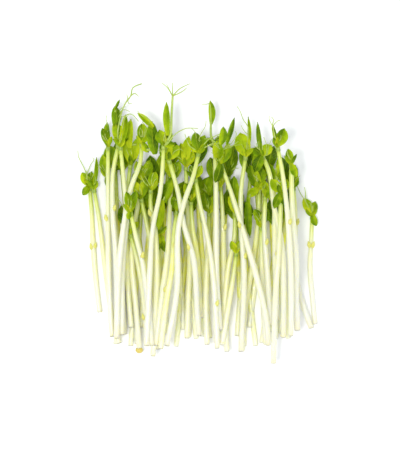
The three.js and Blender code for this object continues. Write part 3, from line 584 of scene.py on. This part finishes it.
for number, spots in SCALE_LEAVES.items():
    line = stem_lines[number]
    clasping = []
    for row, side in spots:
        y = place(0, row)[1]
        middle = np.array([np.interp(-y, -line[:, 1], line[:, axis]) for axis in range(3)])
        seat = STEM_RADIUS * SCALE_LEAF_SEAT
        leaf = copy_of(scale_leaf, f"scale_leaf_{number}_{row}")
        set_down(leaf, middle + (side * seat, 0, seat), (side * SCALE_LEAF_LEAN, 1, 0),
                 SCALE_LEAF_LEAN)
        keep_in_bounds(leaf)
        clasping.append(leaf)
    piece = joined_as(f"scale_leaves_{number:02d}", clasping)
    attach(piece, "root")
    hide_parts(f"stem_{number:02d}")
set_down(husk, stem_lines[HUSK_STEM][-1] + HUSK_SHIFT, (0, 1, 0))
keep_in_bounds(husk)
husk.name = husk.data.name = "pea_husk"
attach(husk, "root")
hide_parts(f"stem_{HUSK_STEM:02d}")


# ---- Leaves, buds and tendrils -----------------------------------------------------------
# Each shoot ends in young leaves, thin and tender with paler veins, a folded bud and curled
# tendrils. Neighbouring tops have grown into a tangle, so each tuft is two pieces: its leaves,
# and its buds, stalks and tendrils. One flat leaf is modelled, and each copy is laid in place.
TUFT_STEMS = {
    "far_left": (1, 2), "far_right": (3,), "low_left": (4, 5, 6),
    "low_mid_left": (7, 8, 9, 10), "low_mid": (11, 12, 13, 14),
    "low_mid_right": (15, 16, 17, 18), "low_right": (19, 20, 21, 22), "lower_right": (23,),
    "top_left": (24, 25, 26, 27), "top_mid": (28, 29, 30), "top_centre": (31, 32, 33),
    "top_right": (34, 35, 36), "top_far_right": (37, 38, 39),
}
# A leaf is where its base and its tip are, and how wide it is.
LEAVES = {
    1: [(88, 187, 81, 172, 9), (89, 187, 91, 171, 8), (87, 187, 82, 195, 7)],
    2: [(94, 189, 96, 157, 4)],
    3: [(311, 215, 304, 198, 10), (312, 215, 316, 201, 8), (313, 215, 317, 226, 7)],
    4: [(105, 177, 102, 154, 9), (104, 172, 107, 187, 6)],
    5: [(130, 165, 125, 131, 10), (131, 165, 138, 137, 10), (130, 145, 131, 119, 9)],
    6: [(142, 182, 136, 161, 10), (142, 182, 150, 160, 11)],
    7: [(131, 233, 126, 220, 7), (132, 233, 139, 222, 7)],
    8: [(141, 200, 134, 181, 9), (142, 200, 148, 180, 10)],
    9: [(160, 235, 155, 254, 7), (161, 235, 165, 252, 7), (160, 235, 156, 211, 10)],
    10: [(152, 191, 156, 172, 10), (151, 191, 145, 179, 6)],
    11: [(186, 167, 189, 136, 10), (185, 167, 181, 143, 11), (187, 167, 193, 151, 9)],
    12: [(171, 180, 165, 160, 10), (172, 180, 179, 161, 10), (170, 181, 162, 205, 10),
         (162, 203, 159, 230, 9)],
    13: [(176, 211, 172, 197, 8), (178, 211, 184, 197, 8), (178, 211, 185, 213, 6)],
    14: [(190, 203, 185, 183, 9), (192, 203, 198, 185, 9)],
    15: [(208, 213, 204, 192, 10), (209, 213, 214, 195, 9), (208, 213, 203, 205, 6)],
    16: [(220, 187, 215, 166, 8), (219, 180, 217, 194, 6), (221, 187, 225, 170, 8)],
    17: [(235, 213, 231, 193, 10), (236, 213, 243, 193, 10), (236, 198, 234, 176, 11)],
    18: [(236, 253, 231, 241, 7), (237, 253, 242, 240, 7)],
    19: [(258, 189, 250, 165, 12), (259, 189, 263, 168, 10), (257, 190, 247, 197, 8),
         (248, 200, 250, 238, 7)],
    20: [(260, 227, 254, 209, 9), (262, 227, 268, 209, 9)],
    21: [(265, 198, 264, 181, 8), (266, 198, 272, 185, 8)],
    22: [(273, 183, 268, 164, 9), (275, 183, 281, 162, 9), (272, 185, 266, 199, 8)],
    23: [(293, 187, 291, 172, 8), (294, 187, 298, 175, 6)],
    24: [(107, 148, 102, 128, 8), (108, 148, 107, 122, 7)],
    25: [(117, 145, 115, 121, 11), (114, 124, 115, 106, 10), (116, 108, 120, 100, 3)],
    26: [(121, 147, 126, 115, 7)],
    27: [(141, 145, 142, 124, 12), (143, 144, 149, 129, 8), (144, 145, 149, 153, 7),
         (155, 152, 152, 122, 12), (152, 126, 138, 114, 6)],
    28: [(131, 213, 127, 192, 8), (133, 213, 137, 191, 8), (131, 209, 129, 220, 5)],
    29: [(170, 161, 169, 141, 10), (172, 161, 179, 146, 9)],
    30: [(163, 148, 160, 131, 11), (165, 148, 171, 132, 11), (165, 148, 175, 146, 7),
         (168, 134, 167, 104, 7)],
    31: [(214, 149, 207, 138, 8), (211, 123, 210, 101, 7), (216, 149, 220, 136, 7)],
    32: [(195, 179, 190, 166, 8), (197, 179, 202, 166, 8)],
    33: [(197, 154, 195, 133, 11), (199, 154, 205, 136, 10), (197, 154, 190, 145, 7)],
    34: [(245, 157, 240, 133, 16), (247, 154, 248, 117, 4)],
    35: [(221, 165, 217, 141, 11), (223, 165, 229, 144, 10), (221, 166, 215, 183, 9),
         (221, 143, 223, 128, 8), (227, 143, 234, 119, 5)],
    36: [(264, 157, 271, 146, 11), (260, 152, 257, 123, 5), (261, 157, 253, 149, 10),
         (260, 158, 254, 173, 10)],
    37: [(279, 194, 270, 180, 10), (281, 194, 286, 180, 10), (278, 195, 273, 209, 8),
         (282, 195, 286, 208, 7)],
    38: [(289, 166, 287, 150, 8), (292, 166, 295, 178, 7)],
    39: [(278, 149, 283, 130, 12), (276, 150, 271, 126, 4), (277, 149, 276, 136, 7)],
}
# How light a tuft's leaves are: partly their own age, partly painted shade, the lowest tufts
# darkest.
LEAF_AGES_AND_SHADE = {"under": (0.05, 0.45), "low": (0.2, 0.9), "lower": (0.25, 0.7), "far": (0.25, 0.8),
             "top": (0.12, 0.8)}
LEAF_ROWS = [(0, 0.36), (0.24, 0.82), (0.55, 1), (0.84, 0.62), (1, 0)]
SLIM_ROWS = [(0, 0.36), (0.32, 0.9), (0.72, 0.88), (1, 0)]
SLIM_WIDTH = 10.5 * SQUARE
SOLID_THICKNESS = 0.00085
LEAF_THICKNESS, THINNER_RIM = 0.0004, 0.55
LEAF_ACROSS, LEAF_ALONG = 12, 18
LEAF_SMOOTHING = math.radians(60)
ROUND_TIP = 12
LEAST_SPREAD, MERGED_WITHIN = 0.001, 0.005
CURL, FLUTTER, FOLD, BOW = (-0.2, 0.26), (0.04, 0.1), (0.05, 0.3), (-0.07, 0.07)
CURL_FROM, FOLD_FROM, FLUTTERS = 0.35, 0.4, 11
# Painted light and shade: one half of a leaf is painted lighter than the other.
PAINTED_HALF_SHADE, PAINTED_HALF_SHADE_BLEND = (-0.26, 0.26), 3
PALER_RIM, DARKER_MIDDLE = 0.16, 0.04
PATCHINESS, PALER_BASE = 0.9, 0.22
LEAF_TINTS = [(0, (0.037, 0.087, 0.001)), (0.35, (0.126, 0.23, 0.001)),
              (0.65, (0.26, 0.377, 0.003)), (1, (0.46, 0.55, 0.008))]
VEIN_COLOUR = (0.42, 0.52, 0.02, 1)
MIDRIB_FINENESS, VEIN_FINENESS, SIDE_VEINS, VEIN_LEAN = 26, 9, 7, 0.7
SIDE_VEIN_DEPTH, VEIN_PALENESS = 0.45, 0.7
SAME_PLACE = 0.00005

leaves.update(LEAVES)
tufts.update(TUFT_STEMS)

bpy.ops.mesh.primitive_grid_add(x_subdivisions=LEAF_ACROSS, y_subdivisions=LEAF_ALONG, size=2,
                                location=(0, 0.5, 0))
flat_leaf = bpy.context.object
flat_leaf.name = "flat_leaf"
flat_leaf.scale = (1, 0.5, 1)
bpy.ops.object.transform_apply(location=True, scale=True)
smooth_rows = smooth_course(LEAF_ROWS, COURSE_POINTS)


# How far out the edge stands at a share of the length, between none and 1.
def spread_at(share):
    return np.interp(share, smooth_rows[:, 0], smooth_rows[:, 1]) * np.sqrt(
        np.clip((1 - share) * ROUND_TIP, 0, 1))


for vertex in flat_leaf.data.vertices:
    vertex.co.x *= max(float(spread_at(vertex.co.y)), LEAST_SPREAD)
bpy.ops.object.mode_set(mode="EDIT")
bpy.ops.mesh.select_all(action="SELECT")
bpy.ops.mesh.remove_doubles(threshold=MERGED_WITHIN)
bpy.ops.object.mode_set(mode="OBJECT")
wall = flat_leaf.modifiers.new("wall", "SOLIDIFY")
wall.thickness = LEAF_THICKNESS
wall.offset = 0
bpy.ops.object.modifier_apply(modifier="wall")
bpy.ops.object.shade_smooth_by_angle(angle=LEAF_SMOOTHING)

tender_leaf = bpy.data.materials.new("tender_pea_leaf")
tender_leaf.use_nodes = True
nodes, links = tender_leaf.node_tree.nodes, tender_leaf.node_tree.links
leaf_shader = nodes["Principled BSDF"]
leaf_shader.inputs["Roughness"].default_value = 0.5
leaf_shader.inputs["Specular IOR Level"].default_value = 0.04
leaf_shader.inputs["Subsurface Weight"].default_value = 0.35
leaf_shader.inputs["Subsurface Radius"].default_value = (0.6, 1, 0.12)
leaf_shader.inputs["Subsurface Scale"].default_value = 0.0012


def reckon(operation, *values):
    node = nodes.new("ShaderNodeMath")
    node.operation = operation
    for k, value in enumerate(values):
        if isinstance(value, (int, float)):
            node.inputs[k].default_value = value
        else:
            links.new(value, node.inputs[k])
    return node.outputs["Value"]


# The green follows the leaf's age and its painted shade, in patches, and is lighter towards its
# base.
age_and_shade = nodes.new("ShaderNodeAttribute")
age_and_shade.attribute_name = "light_green"
leaf_place = nodes.new("ShaderNodeTexCoord")
patches = nodes.new("ShaderNodeTexNoise")
patches.inputs["Scale"].default_value = 330
patches.inputs["Detail"].default_value = 5
links.new(leaf_place.outputs["Object"], patches.inputs["Vector"])
split = nodes.new("ShaderNodeSeparateXYZ")
links.new(leaf_place.outputs["UV"], split.inputs["Vector"])
patchy = reckon("MULTIPLY_ADD", patches.outputs["Fac"], PATCHINESS, age_and_shade.outputs["Fac"])
aged = reckon("SUBTRACT", patchy, PATCHINESS / 2)
towards_base = reckon("POWER", reckon("SUBTRACT", 1, split.outputs["Y"]), 3)
greens = nodes.new("ShaderNodeValToRGB")
set_tints(greens, LEAF_TINTS)
links.new(reckon("ADD", aged, reckon("MULTIPLY", towards_base, PALER_BASE)),
          greens.inputs["Fac"])

# Veins on the leaf's own map: a midrib down the middle, and side veins that lean to the tip.
off_middle = reckon("ABSOLUTE", reckon("SUBTRACT", split.outputs["X"], 0.5))
from_midrib = reckon("MULTIPLY", off_middle, MIDRIB_FINENESS)
midrib = reckon("SUBTRACT", 1, reckon("SMOOTH_MIN", from_midrib, 1, 0.3))
leaning = reckon("SUBTRACT", split.outputs["Y"], reckon("MULTIPLY", off_middle, VEIN_LEAN))
comb = reckon("FRACT", reckon("MULTIPLY", leaning, SIDE_VEINS))
from_vein = reckon("MULTIPLY", reckon("ABSOLUTE", reckon("SUBTRACT", comb, 0.5)), VEIN_FINENESS)
side_veins = reckon("SUBTRACT", 1, reckon("MINIMUM", from_vein, 1))
veins = reckon("MAXIMUM", midrib, reckon("MULTIPLY", side_veins, SIDE_VEIN_DEPTH))
paler = nodes.new("ShaderNodeMix")
paler.data_type = "RGBA"
paler.inputs[COLOUR_B].default_value = VEIN_COLOUR
links.new(reckon("MULTIPLY", veins, VEIN_PALENESS), paler.inputs["Factor"])
links.new(greens.outputs["Color"], paler.inputs[COLOUR_A])
links.new(paler.outputs[MIXED_COLOUR], leaf_shader.inputs["Base Color"])
sunken = nodes.new("ShaderNodeBump")
sunken.inputs["Strength"].default_value = 0.7
sunken.inputs["Distance"].default_value = 0.0003
sunken.invert = True
links.new(veins, sunken.inputs["Height"])
links.new(sunken.outputs["Normal"], leaf_shader.inputs["Normal"])
flat_leaf.data.materials.append(tender_leaf)
flat_leaf.select_set(False)

corners_of = {}
trees_of = {}


# Where a solid top has a corner at this place in plan, its height. Elsewhere, that of its face.
def top_height(node, spot):
    if node is None:
        return None
    near = np.hypot(*(corners_of[node][:, :2] - spot).T) < SAME_PLACE
    if near.any():
        return corners_of[node][near, 2].max()
    hit = trees_of[node].ray_cast(Vector((*spot, 1)), Vector((0, 0, -1)))[0]
    return hit.z if hit else None


def plan_apart(a, b):
    return math.hypot(a[0] - b[0], a[1] - b[1])


# Lays a flat leaf over the solid one from base to tip. The solid leaf's rows give the heights
# of its midrib and its two edges. The curl lifts or drops the edges between them. Painted light
# and shade make one half a lighter green than the other, and the rim is lighter than the middle.
def lay_leaf(node, base, tip, width, rows, ages_and_shade, chance):
    length = plan_apart(base, tip)
    ahead = np.array([tip[0] - base[0], tip[1] - base[1]]) / length
    side = np.array([-ahead[1], ahead[0]])
    start = np.array(base[:2])
    guess = base[2]
    laid = [(0, guess, guess, guess)]
    midribs = []
    for row, spread in rows[1:-1]:
        heights = []
        for across in (1, 0, -1):
            spot = start + ahead * row * length + side * across * spread * width / 2
            height = top_height(node, spot)
            heights.append(guess if height is None else height - SOLID_THICKNESS / 2)
        guess = heights[1]
        laid.append((row, *heights))
        midribs.append((*(start + ahead * row * length), heights[1]))
    height = top_height(node, tip)
    end = guess if height is None else height - SOLID_THICKNESS / 2
    laid.append((1, end, end, end))
    fine = smooth_course([(row * length, *heights) for row, *heights in laid], COURSE_POINTS)
    curl = chance.uniform(*CURL) * width
    flutter = chance.uniform(*FLUTTER) * width
    fold = chance.choice((-1, 1)) * chance.uniform(*FOLD) * width / 2
    bow = chance.uniform(*BOW) * length
    phase = chance.uniform(*ANY_PHASE)

    def surface(share, out):
        left, middle, right = (np.interp(share * length, fine[:, 0], fine[:, k]) for k in (1, 2, 3))
        height = middle + (left - right) / 2 * out + ((left + right) / 2 - middle) * out ** 2
        height += curl * (out ** 2 - CURL_FROM) * np.sin(math.pi * np.clip(share, 0, 1))
        height += fold * (np.abs(out) - FOLD_FROM) * np.sqrt(np.clip(share, 0, 1))
        height += flutter * out ** 2 * np.sin(share * FLUTTERS + phase + out)
        wide = out * spread_at(share) * width / 2 + bow * np.sin(math.pi * share)
        plan = start + np.outer(share * length, ahead) + np.outer(wide, side)
        return np.column_stack([plan, height])

    leaf = copy_of(flat_leaf, "leaf")
    spots = np.empty(len(leaf.data.vertices) * 3)
    leaf.data.vertices.foreach_get("co", spots)
    spots = spots.reshape(-1, 3)
    share = np.clip(spots[:, 1], 0, 1)
    out = np.clip(spots[:, 0] / np.maximum(spread_at(share), 0.02), -1, 1)
    here = surface(share, out)
    inward = np.where(share > 0.5, -0.01, 0.01)
    along = (surface(share + inward, out) - here) * np.sign(inward)[:, None]
    outward = np.where(out > 0, -0.02, 0.02)
    across = (surface(share, out + outward) - here) * np.sign(outward)[:, None]
    upward = np.cross(along, across)
    upward *= np.where(upward[:, 2] < 0, -1, 1)[:, None]
    lengths = np.linalg.norm(upward, axis=1)[:, None]
    upward = np.where(lengths > 1e-12, upward / np.maximum(lengths, 1e-12), (0, 0, 1))
    thin = 1 - THINNER_RIM * out ** 2
    here = here + upward * (spots[:, 2] * thin)[:, None]
    leaf.data.vertices.foreach_set("co", here.ravel())
    leaf.data.update()
    keep_in_bounds(leaf)
    # Painted light and shade across the two halves.
    painted_half_shade = chance.uniform(*PAINTED_HALF_SHADE) * np.tanh(PAINTED_HALF_SHADE_BLEND * out)
    mark(leaf, "light_green",
         chance.uniform(*ages_and_shade) + painted_half_shade + PALER_RIM * out ** 4 - DARKER_MIDDLE)
    return leaf, midribs


# Tendrils and stalks are bent from a straight thread, and a bud is three small green folds.
# A tendril is the points that it passes, from the crown outwards.
TENDRILS = {
    1: [[(86, 174), (81, 163), (78, 157), (77, 150)]],
    3: [[(306, 201), (301, 193), (298, 186)], [(307, 200), (306, 193), (305, 187)]],
    4: [[(106, 178), (112, 190), (120, 202), (126, 214)]],
    10: [[(150, 189), (145, 183), (141, 176)]],
    25: [[(118, 132), (122, 112), (126, 103), (131, 96), (133, 88), (142, 84)],
         [(131, 96), (135, 94), (139, 97)], [(126, 103), (128, 99), (127, 95)]],
    26: [[(125, 119), (132, 115), (139, 122)]],
    30: [[(166, 146), (171, 135), (172, 115), (173, 98)], [(173, 98), (168, 90), (162, 85)],
         [(173, 98), (182, 94), (187, 90)], [(173, 98), (173, 91), (173, 85)],
         [(173, 98), (180, 91), (190, 86)],
         [(168, 145), (175, 136), (186, 130), (198, 130)]],
    31: [[(214, 148), (211, 136), (211, 122)], [(210, 106), (206, 105), (202, 105)]],
    33: [[(200, 152), (209, 146), (219, 143), (230, 142)], [(199, 152), (208, 141), (222, 134)],
         [(190, 147), (187, 141), (185, 135)]],
    34: [[(248, 130), (243, 120), (240, 112), (237, 107)]],
    35: [[(222, 150), (230, 148), (238, 142)]],
    39: [[(272, 130), (275, 124), (279, 122)], [(271, 128), (272, 122), (270, 119)]],
}
FINE_TENDRILS = {
    1: [[(87, 172), (90, 164), (93, 160), (92, 157)]],
    6: [[(142, 180), (145, 172), (149, 166), (147, 163)]],
    19: [[(260, 187), (258, 179), (254, 176)]],
    24: [[(107, 124), (106, 119), (107, 115)]],
    25: [[(119, 112), (122, 108), (126, 107)], [(128, 100), (129, 104), (132, 104)],
         [(119, 118), (123, 113), (128, 115), (126, 120)], [(120, 112), (125, 110), (130, 112)]],
    27: [[(150, 122), (143, 117), (138, 112)], [(146, 128), (143, 123), (147, 119), (151, 123)]],
    29: [[(171, 160), (174, 153), (180, 150), (183, 152)], [(170, 159), (166, 154), (168, 148)]],
    30: [[(173, 98), (170, 92), (167, 86)]],
    33: [[(197, 152), (200, 137), (205, 128), (206, 122)], [(196, 150), (196, 135), (191, 129)]],
    34: [[(247, 134), (243, 130), (241, 126)]],
    35: [[(223, 150), (231, 144), (236, 136), (235, 132)], [(220, 150), (214, 146), (209, 147)],
         [(221, 152), (230, 147), (240, 145)], [(219, 148), (212, 141), (204, 140)]],
    36: [[(265, 156), (266, 147), (263, 138)], [(266, 156), (268, 147), (271, 140)],
         [(264, 158), (259, 150), (258, 140)]],
    37: [[(280, 192), (276, 184), (277, 178)]],
    39: [[(272, 128), (268, 122), (268, 118)]],
}
STOUT_TENDRILS = {(25, 0): 0.00035, (30, 0): 0.0006, (31, 0): 0.0006}
TENDRIL_RADIUS, TENDRIL_END, STOUT_END = 0.0003, 0.5, 0.8
FINE_RADIUS, FINE_END = 0.0002, 0.6
STALK_RADIUS, STALK_END, STALK_SUNK = 0.00045, 0.9, 0.0013
THREAD_LENGTH, THREAD_SIDES, THREAD_RINGS, THREAD_POINTS = 0.01, 8, 26, 40
THREAD_SMOOTHING = math.radians(60)
THREAD_COLOURS = ((0.28, 0.41, 0.03), (0.46, 0.56, 0.10))
SHORTEST_STEP = 0.0008
BUD_AHEAD, BUD_SEAT = 0.0021, 0.6
BUD_SIZE = (0.00105, 0.0026, 0.001)
BUD_FOLDS, FOLD_RISE = ((0, 1), (-0.5, 0.7), (0.5, 0.7)), 0.2
BUD_COLOURS = ((0.20, 0.33, 0.02), (0.36, 0.47, 0.05))
WISPS, WISP_STEPS = 3, 3
WISP_TURN, WISP_STEP = (-0.55, 0.55), (0.0012, 0.0026)

thread = ringed_rod("straight_thread", THREAD_SIDES, 1, THREAD_LENGTH, THREAD_RINGS)
bpy.ops.object.shade_smooth_by_angle(angle=THREAD_SMOOTHING)
thread.data.materials.append(noisy_skin("tendril_skin", THREAD_COLOURS, 500, 0.4))
thread.select_set(False)
bud = pointed("bud", BUD_SIZE, noisy_skin("folded_bud_skin", BUD_COLOURS, 700, 0.45))


def turned_in_plan(heading, turn):
    return Matrix.Rotation(turn, 3, "Z") @ Vector(heading)


# A stalk or tendril from the nearest grown point of its top through the given ones.
def grow_thread(node, growth, spots, radius, end):
    start = min(growth, key=lambda grown: plan_apart(grown, spots[0]))
    spots = [spot for spot in spots if plan_apart(spot, start) > SHORTEST_STEP]
    if not spots:
        return None, start
    line = [np.array(start)]
    for spot in spots:
        height = top_height(node, spot)
        line.append(np.array([*spot, line[-1][2] if height is None else height - radius]))
    growth.extend(line[1:])
    strand = copy_of(thread, "strand")
    bend_along(strand, smooth_course(line, THREAD_POINTS), THREAD_LENGTH,
               lambda share: radius * (1 - (1 - end) * share))
    keep_in_bounds(strand)
    return strand, line[-1]


def folds_of_bud(shoot):
    heading = headings[shoot]
    folds = []
    for lean, size in BUD_FOLDS:
        fold = copy_of(bud, "fold")
        fold.data.transform(Matrix.Scale(size, 4))
        turned = heading + lean * np.array([heading[1], -heading[0], FOLD_RISE])
        set_down(fold, crowns[shoot] + heading * BUD_AHEAD * BUD_SEAT, turned)
        keep_in_bounds(fold)
        folds.append(fold)
    return folds


# Short fine tendrils that stray from the bud.
def wisps_of(node, bud_spot, heading, chance):
    wisps = []
    for _ in range(WISPS):
        spots = [bud_spot]
        turn = chance.uniform(*WISP_TURN)
        for _ in range(WISP_STEPS):
            step = turned_in_plan(heading, turn) * chance.uniform(*WISP_STEP)
            spots.append(spots[-1] + np.array(step))
            turn += chance.uniform(*WISP_TURN)
        strand, _ = grow_thread(node, [bud_spot], [spot[:2] for spot in spots[1:]],
                                FINE_RADIUS, FINE_END)
        wisps.append(strand)
    return wisps


# A pair of small leaves, stipules, sits at each crown.
LEAF_SEAT = 0.0006
NEAR_BUD = 0.0024
STIPULE_TURN, STIPULE_LIFT = (0.15, 0.75), 0.7
STIPULE_LENGTH, STIPULE_WIDTH = (0.0036, 0.0056), (0.0014, 0.0024)


def stipules_of(shoot, ages_and_shade, chance):
    heading = headings[shoot]
    stipules = []
    for side in (-1, 1):
        turned = turned_in_plan(heading, side * chance.uniform(*STIPULE_TURN))
        away = np.array(turned.to_2d().normalized())
        base = crowns[shoot] + heading * BUD_AHEAD * BUD_SEAT + (0, 0, STEM_RADIUS * STIPULE_LIFT)
        tip = base[:2] + away * chance.uniform(*STIPULE_LENGTH)
        stipules.append(lay_leaf(None, base, tip, chance.uniform(*STIPULE_WIDTH), SLIM_ROWS,
                                 ages_and_shade, chance)[0])
    return stipules


# A leaf that isn't at its crown stands on a stalk from the nearest point that has grown.
for tuft, shoots in tufts.items():
    node = f"tops_{tuft}"
    corners_of[node] = np.array([vertex.co[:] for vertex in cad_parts[node].data.vertices])
    trees_of[node] = tree_of(node)
    ages_and_shade = LEAF_AGES_AND_SHADE[tuft.split("_")[0]]
    green = []
    strands = []
    for shoot in shoots:
        chance = random.Random(f"leaves {shoot}")
        bud_spot = crowns[shoot] + headings[shoot] * BUD_AHEAD
        growth = [bud_spot]
        strands += folds_of_bud(shoot)
        green += stipules_of(shoot, ages_and_shade, chance)
        for count, course in enumerate(TENDRILS.get(shoot, [])):
            stout = STOUT_TENDRILS.get((shoot, count))
            strand, _ = grow_thread(node, growth, [place(*square) for square in course],
                                    stout or TENDRIL_RADIUS, STOUT_END if stout else TENDRIL_END)
            strands.append(strand)
        strands += wisps_of(node, bud_spot, headings[shoot], chance)
        for course in FINE_TENDRILS.get(shoot, []):
            strand, _ = grow_thread(node, list(growth), [place(*square) for square in course],
                                    FINE_RADIUS, FINE_END)
            strands.append(strand)
        for base_across, base_down, tip_across, tip_down, squares in leaves[shoot]:
            base, tip = place(base_across, base_down), place(tip_across, tip_down)
            width = squares * SQUARE
            if plan_apart(base, bud_spot) < NEAR_BUD:
                base = bud_spot + (0, 0, LEAF_SEAT)
            else:
                strand, end = grow_thread(node, growth, [base], STALK_RADIUS, STALK_END)
                if strand:
                    strands.append(strand)
                back = STALK_SUNK / plan_apart(end, tip)
                base = (end[0] - (tip[0] - end[0]) * back, end[1] - (tip[1] - end[1]) * back,
                        end[2])
            slim = tuft.startswith("under") or width < SLIM_WIDTH
            leaf, midribs = lay_leaf(node, base, tip, width, SLIM_ROWS if slim else LEAF_ROWS,
                                     ages_and_shade, chance)
            growth.extend(midribs)
            green.append(leaf)
    for piece in (joined_as(f"leaves_{tuft}", green), joined_as(f"tendrils_{tuft}", strands)):
        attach(piece, "root")
        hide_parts(node)


# The straight and flat models have been copied, and aren't part of the bunch.
for model in (straight_stem, scale_leaf, flat_leaf, thread, bud):
    bpy.data.objects.remove(model)
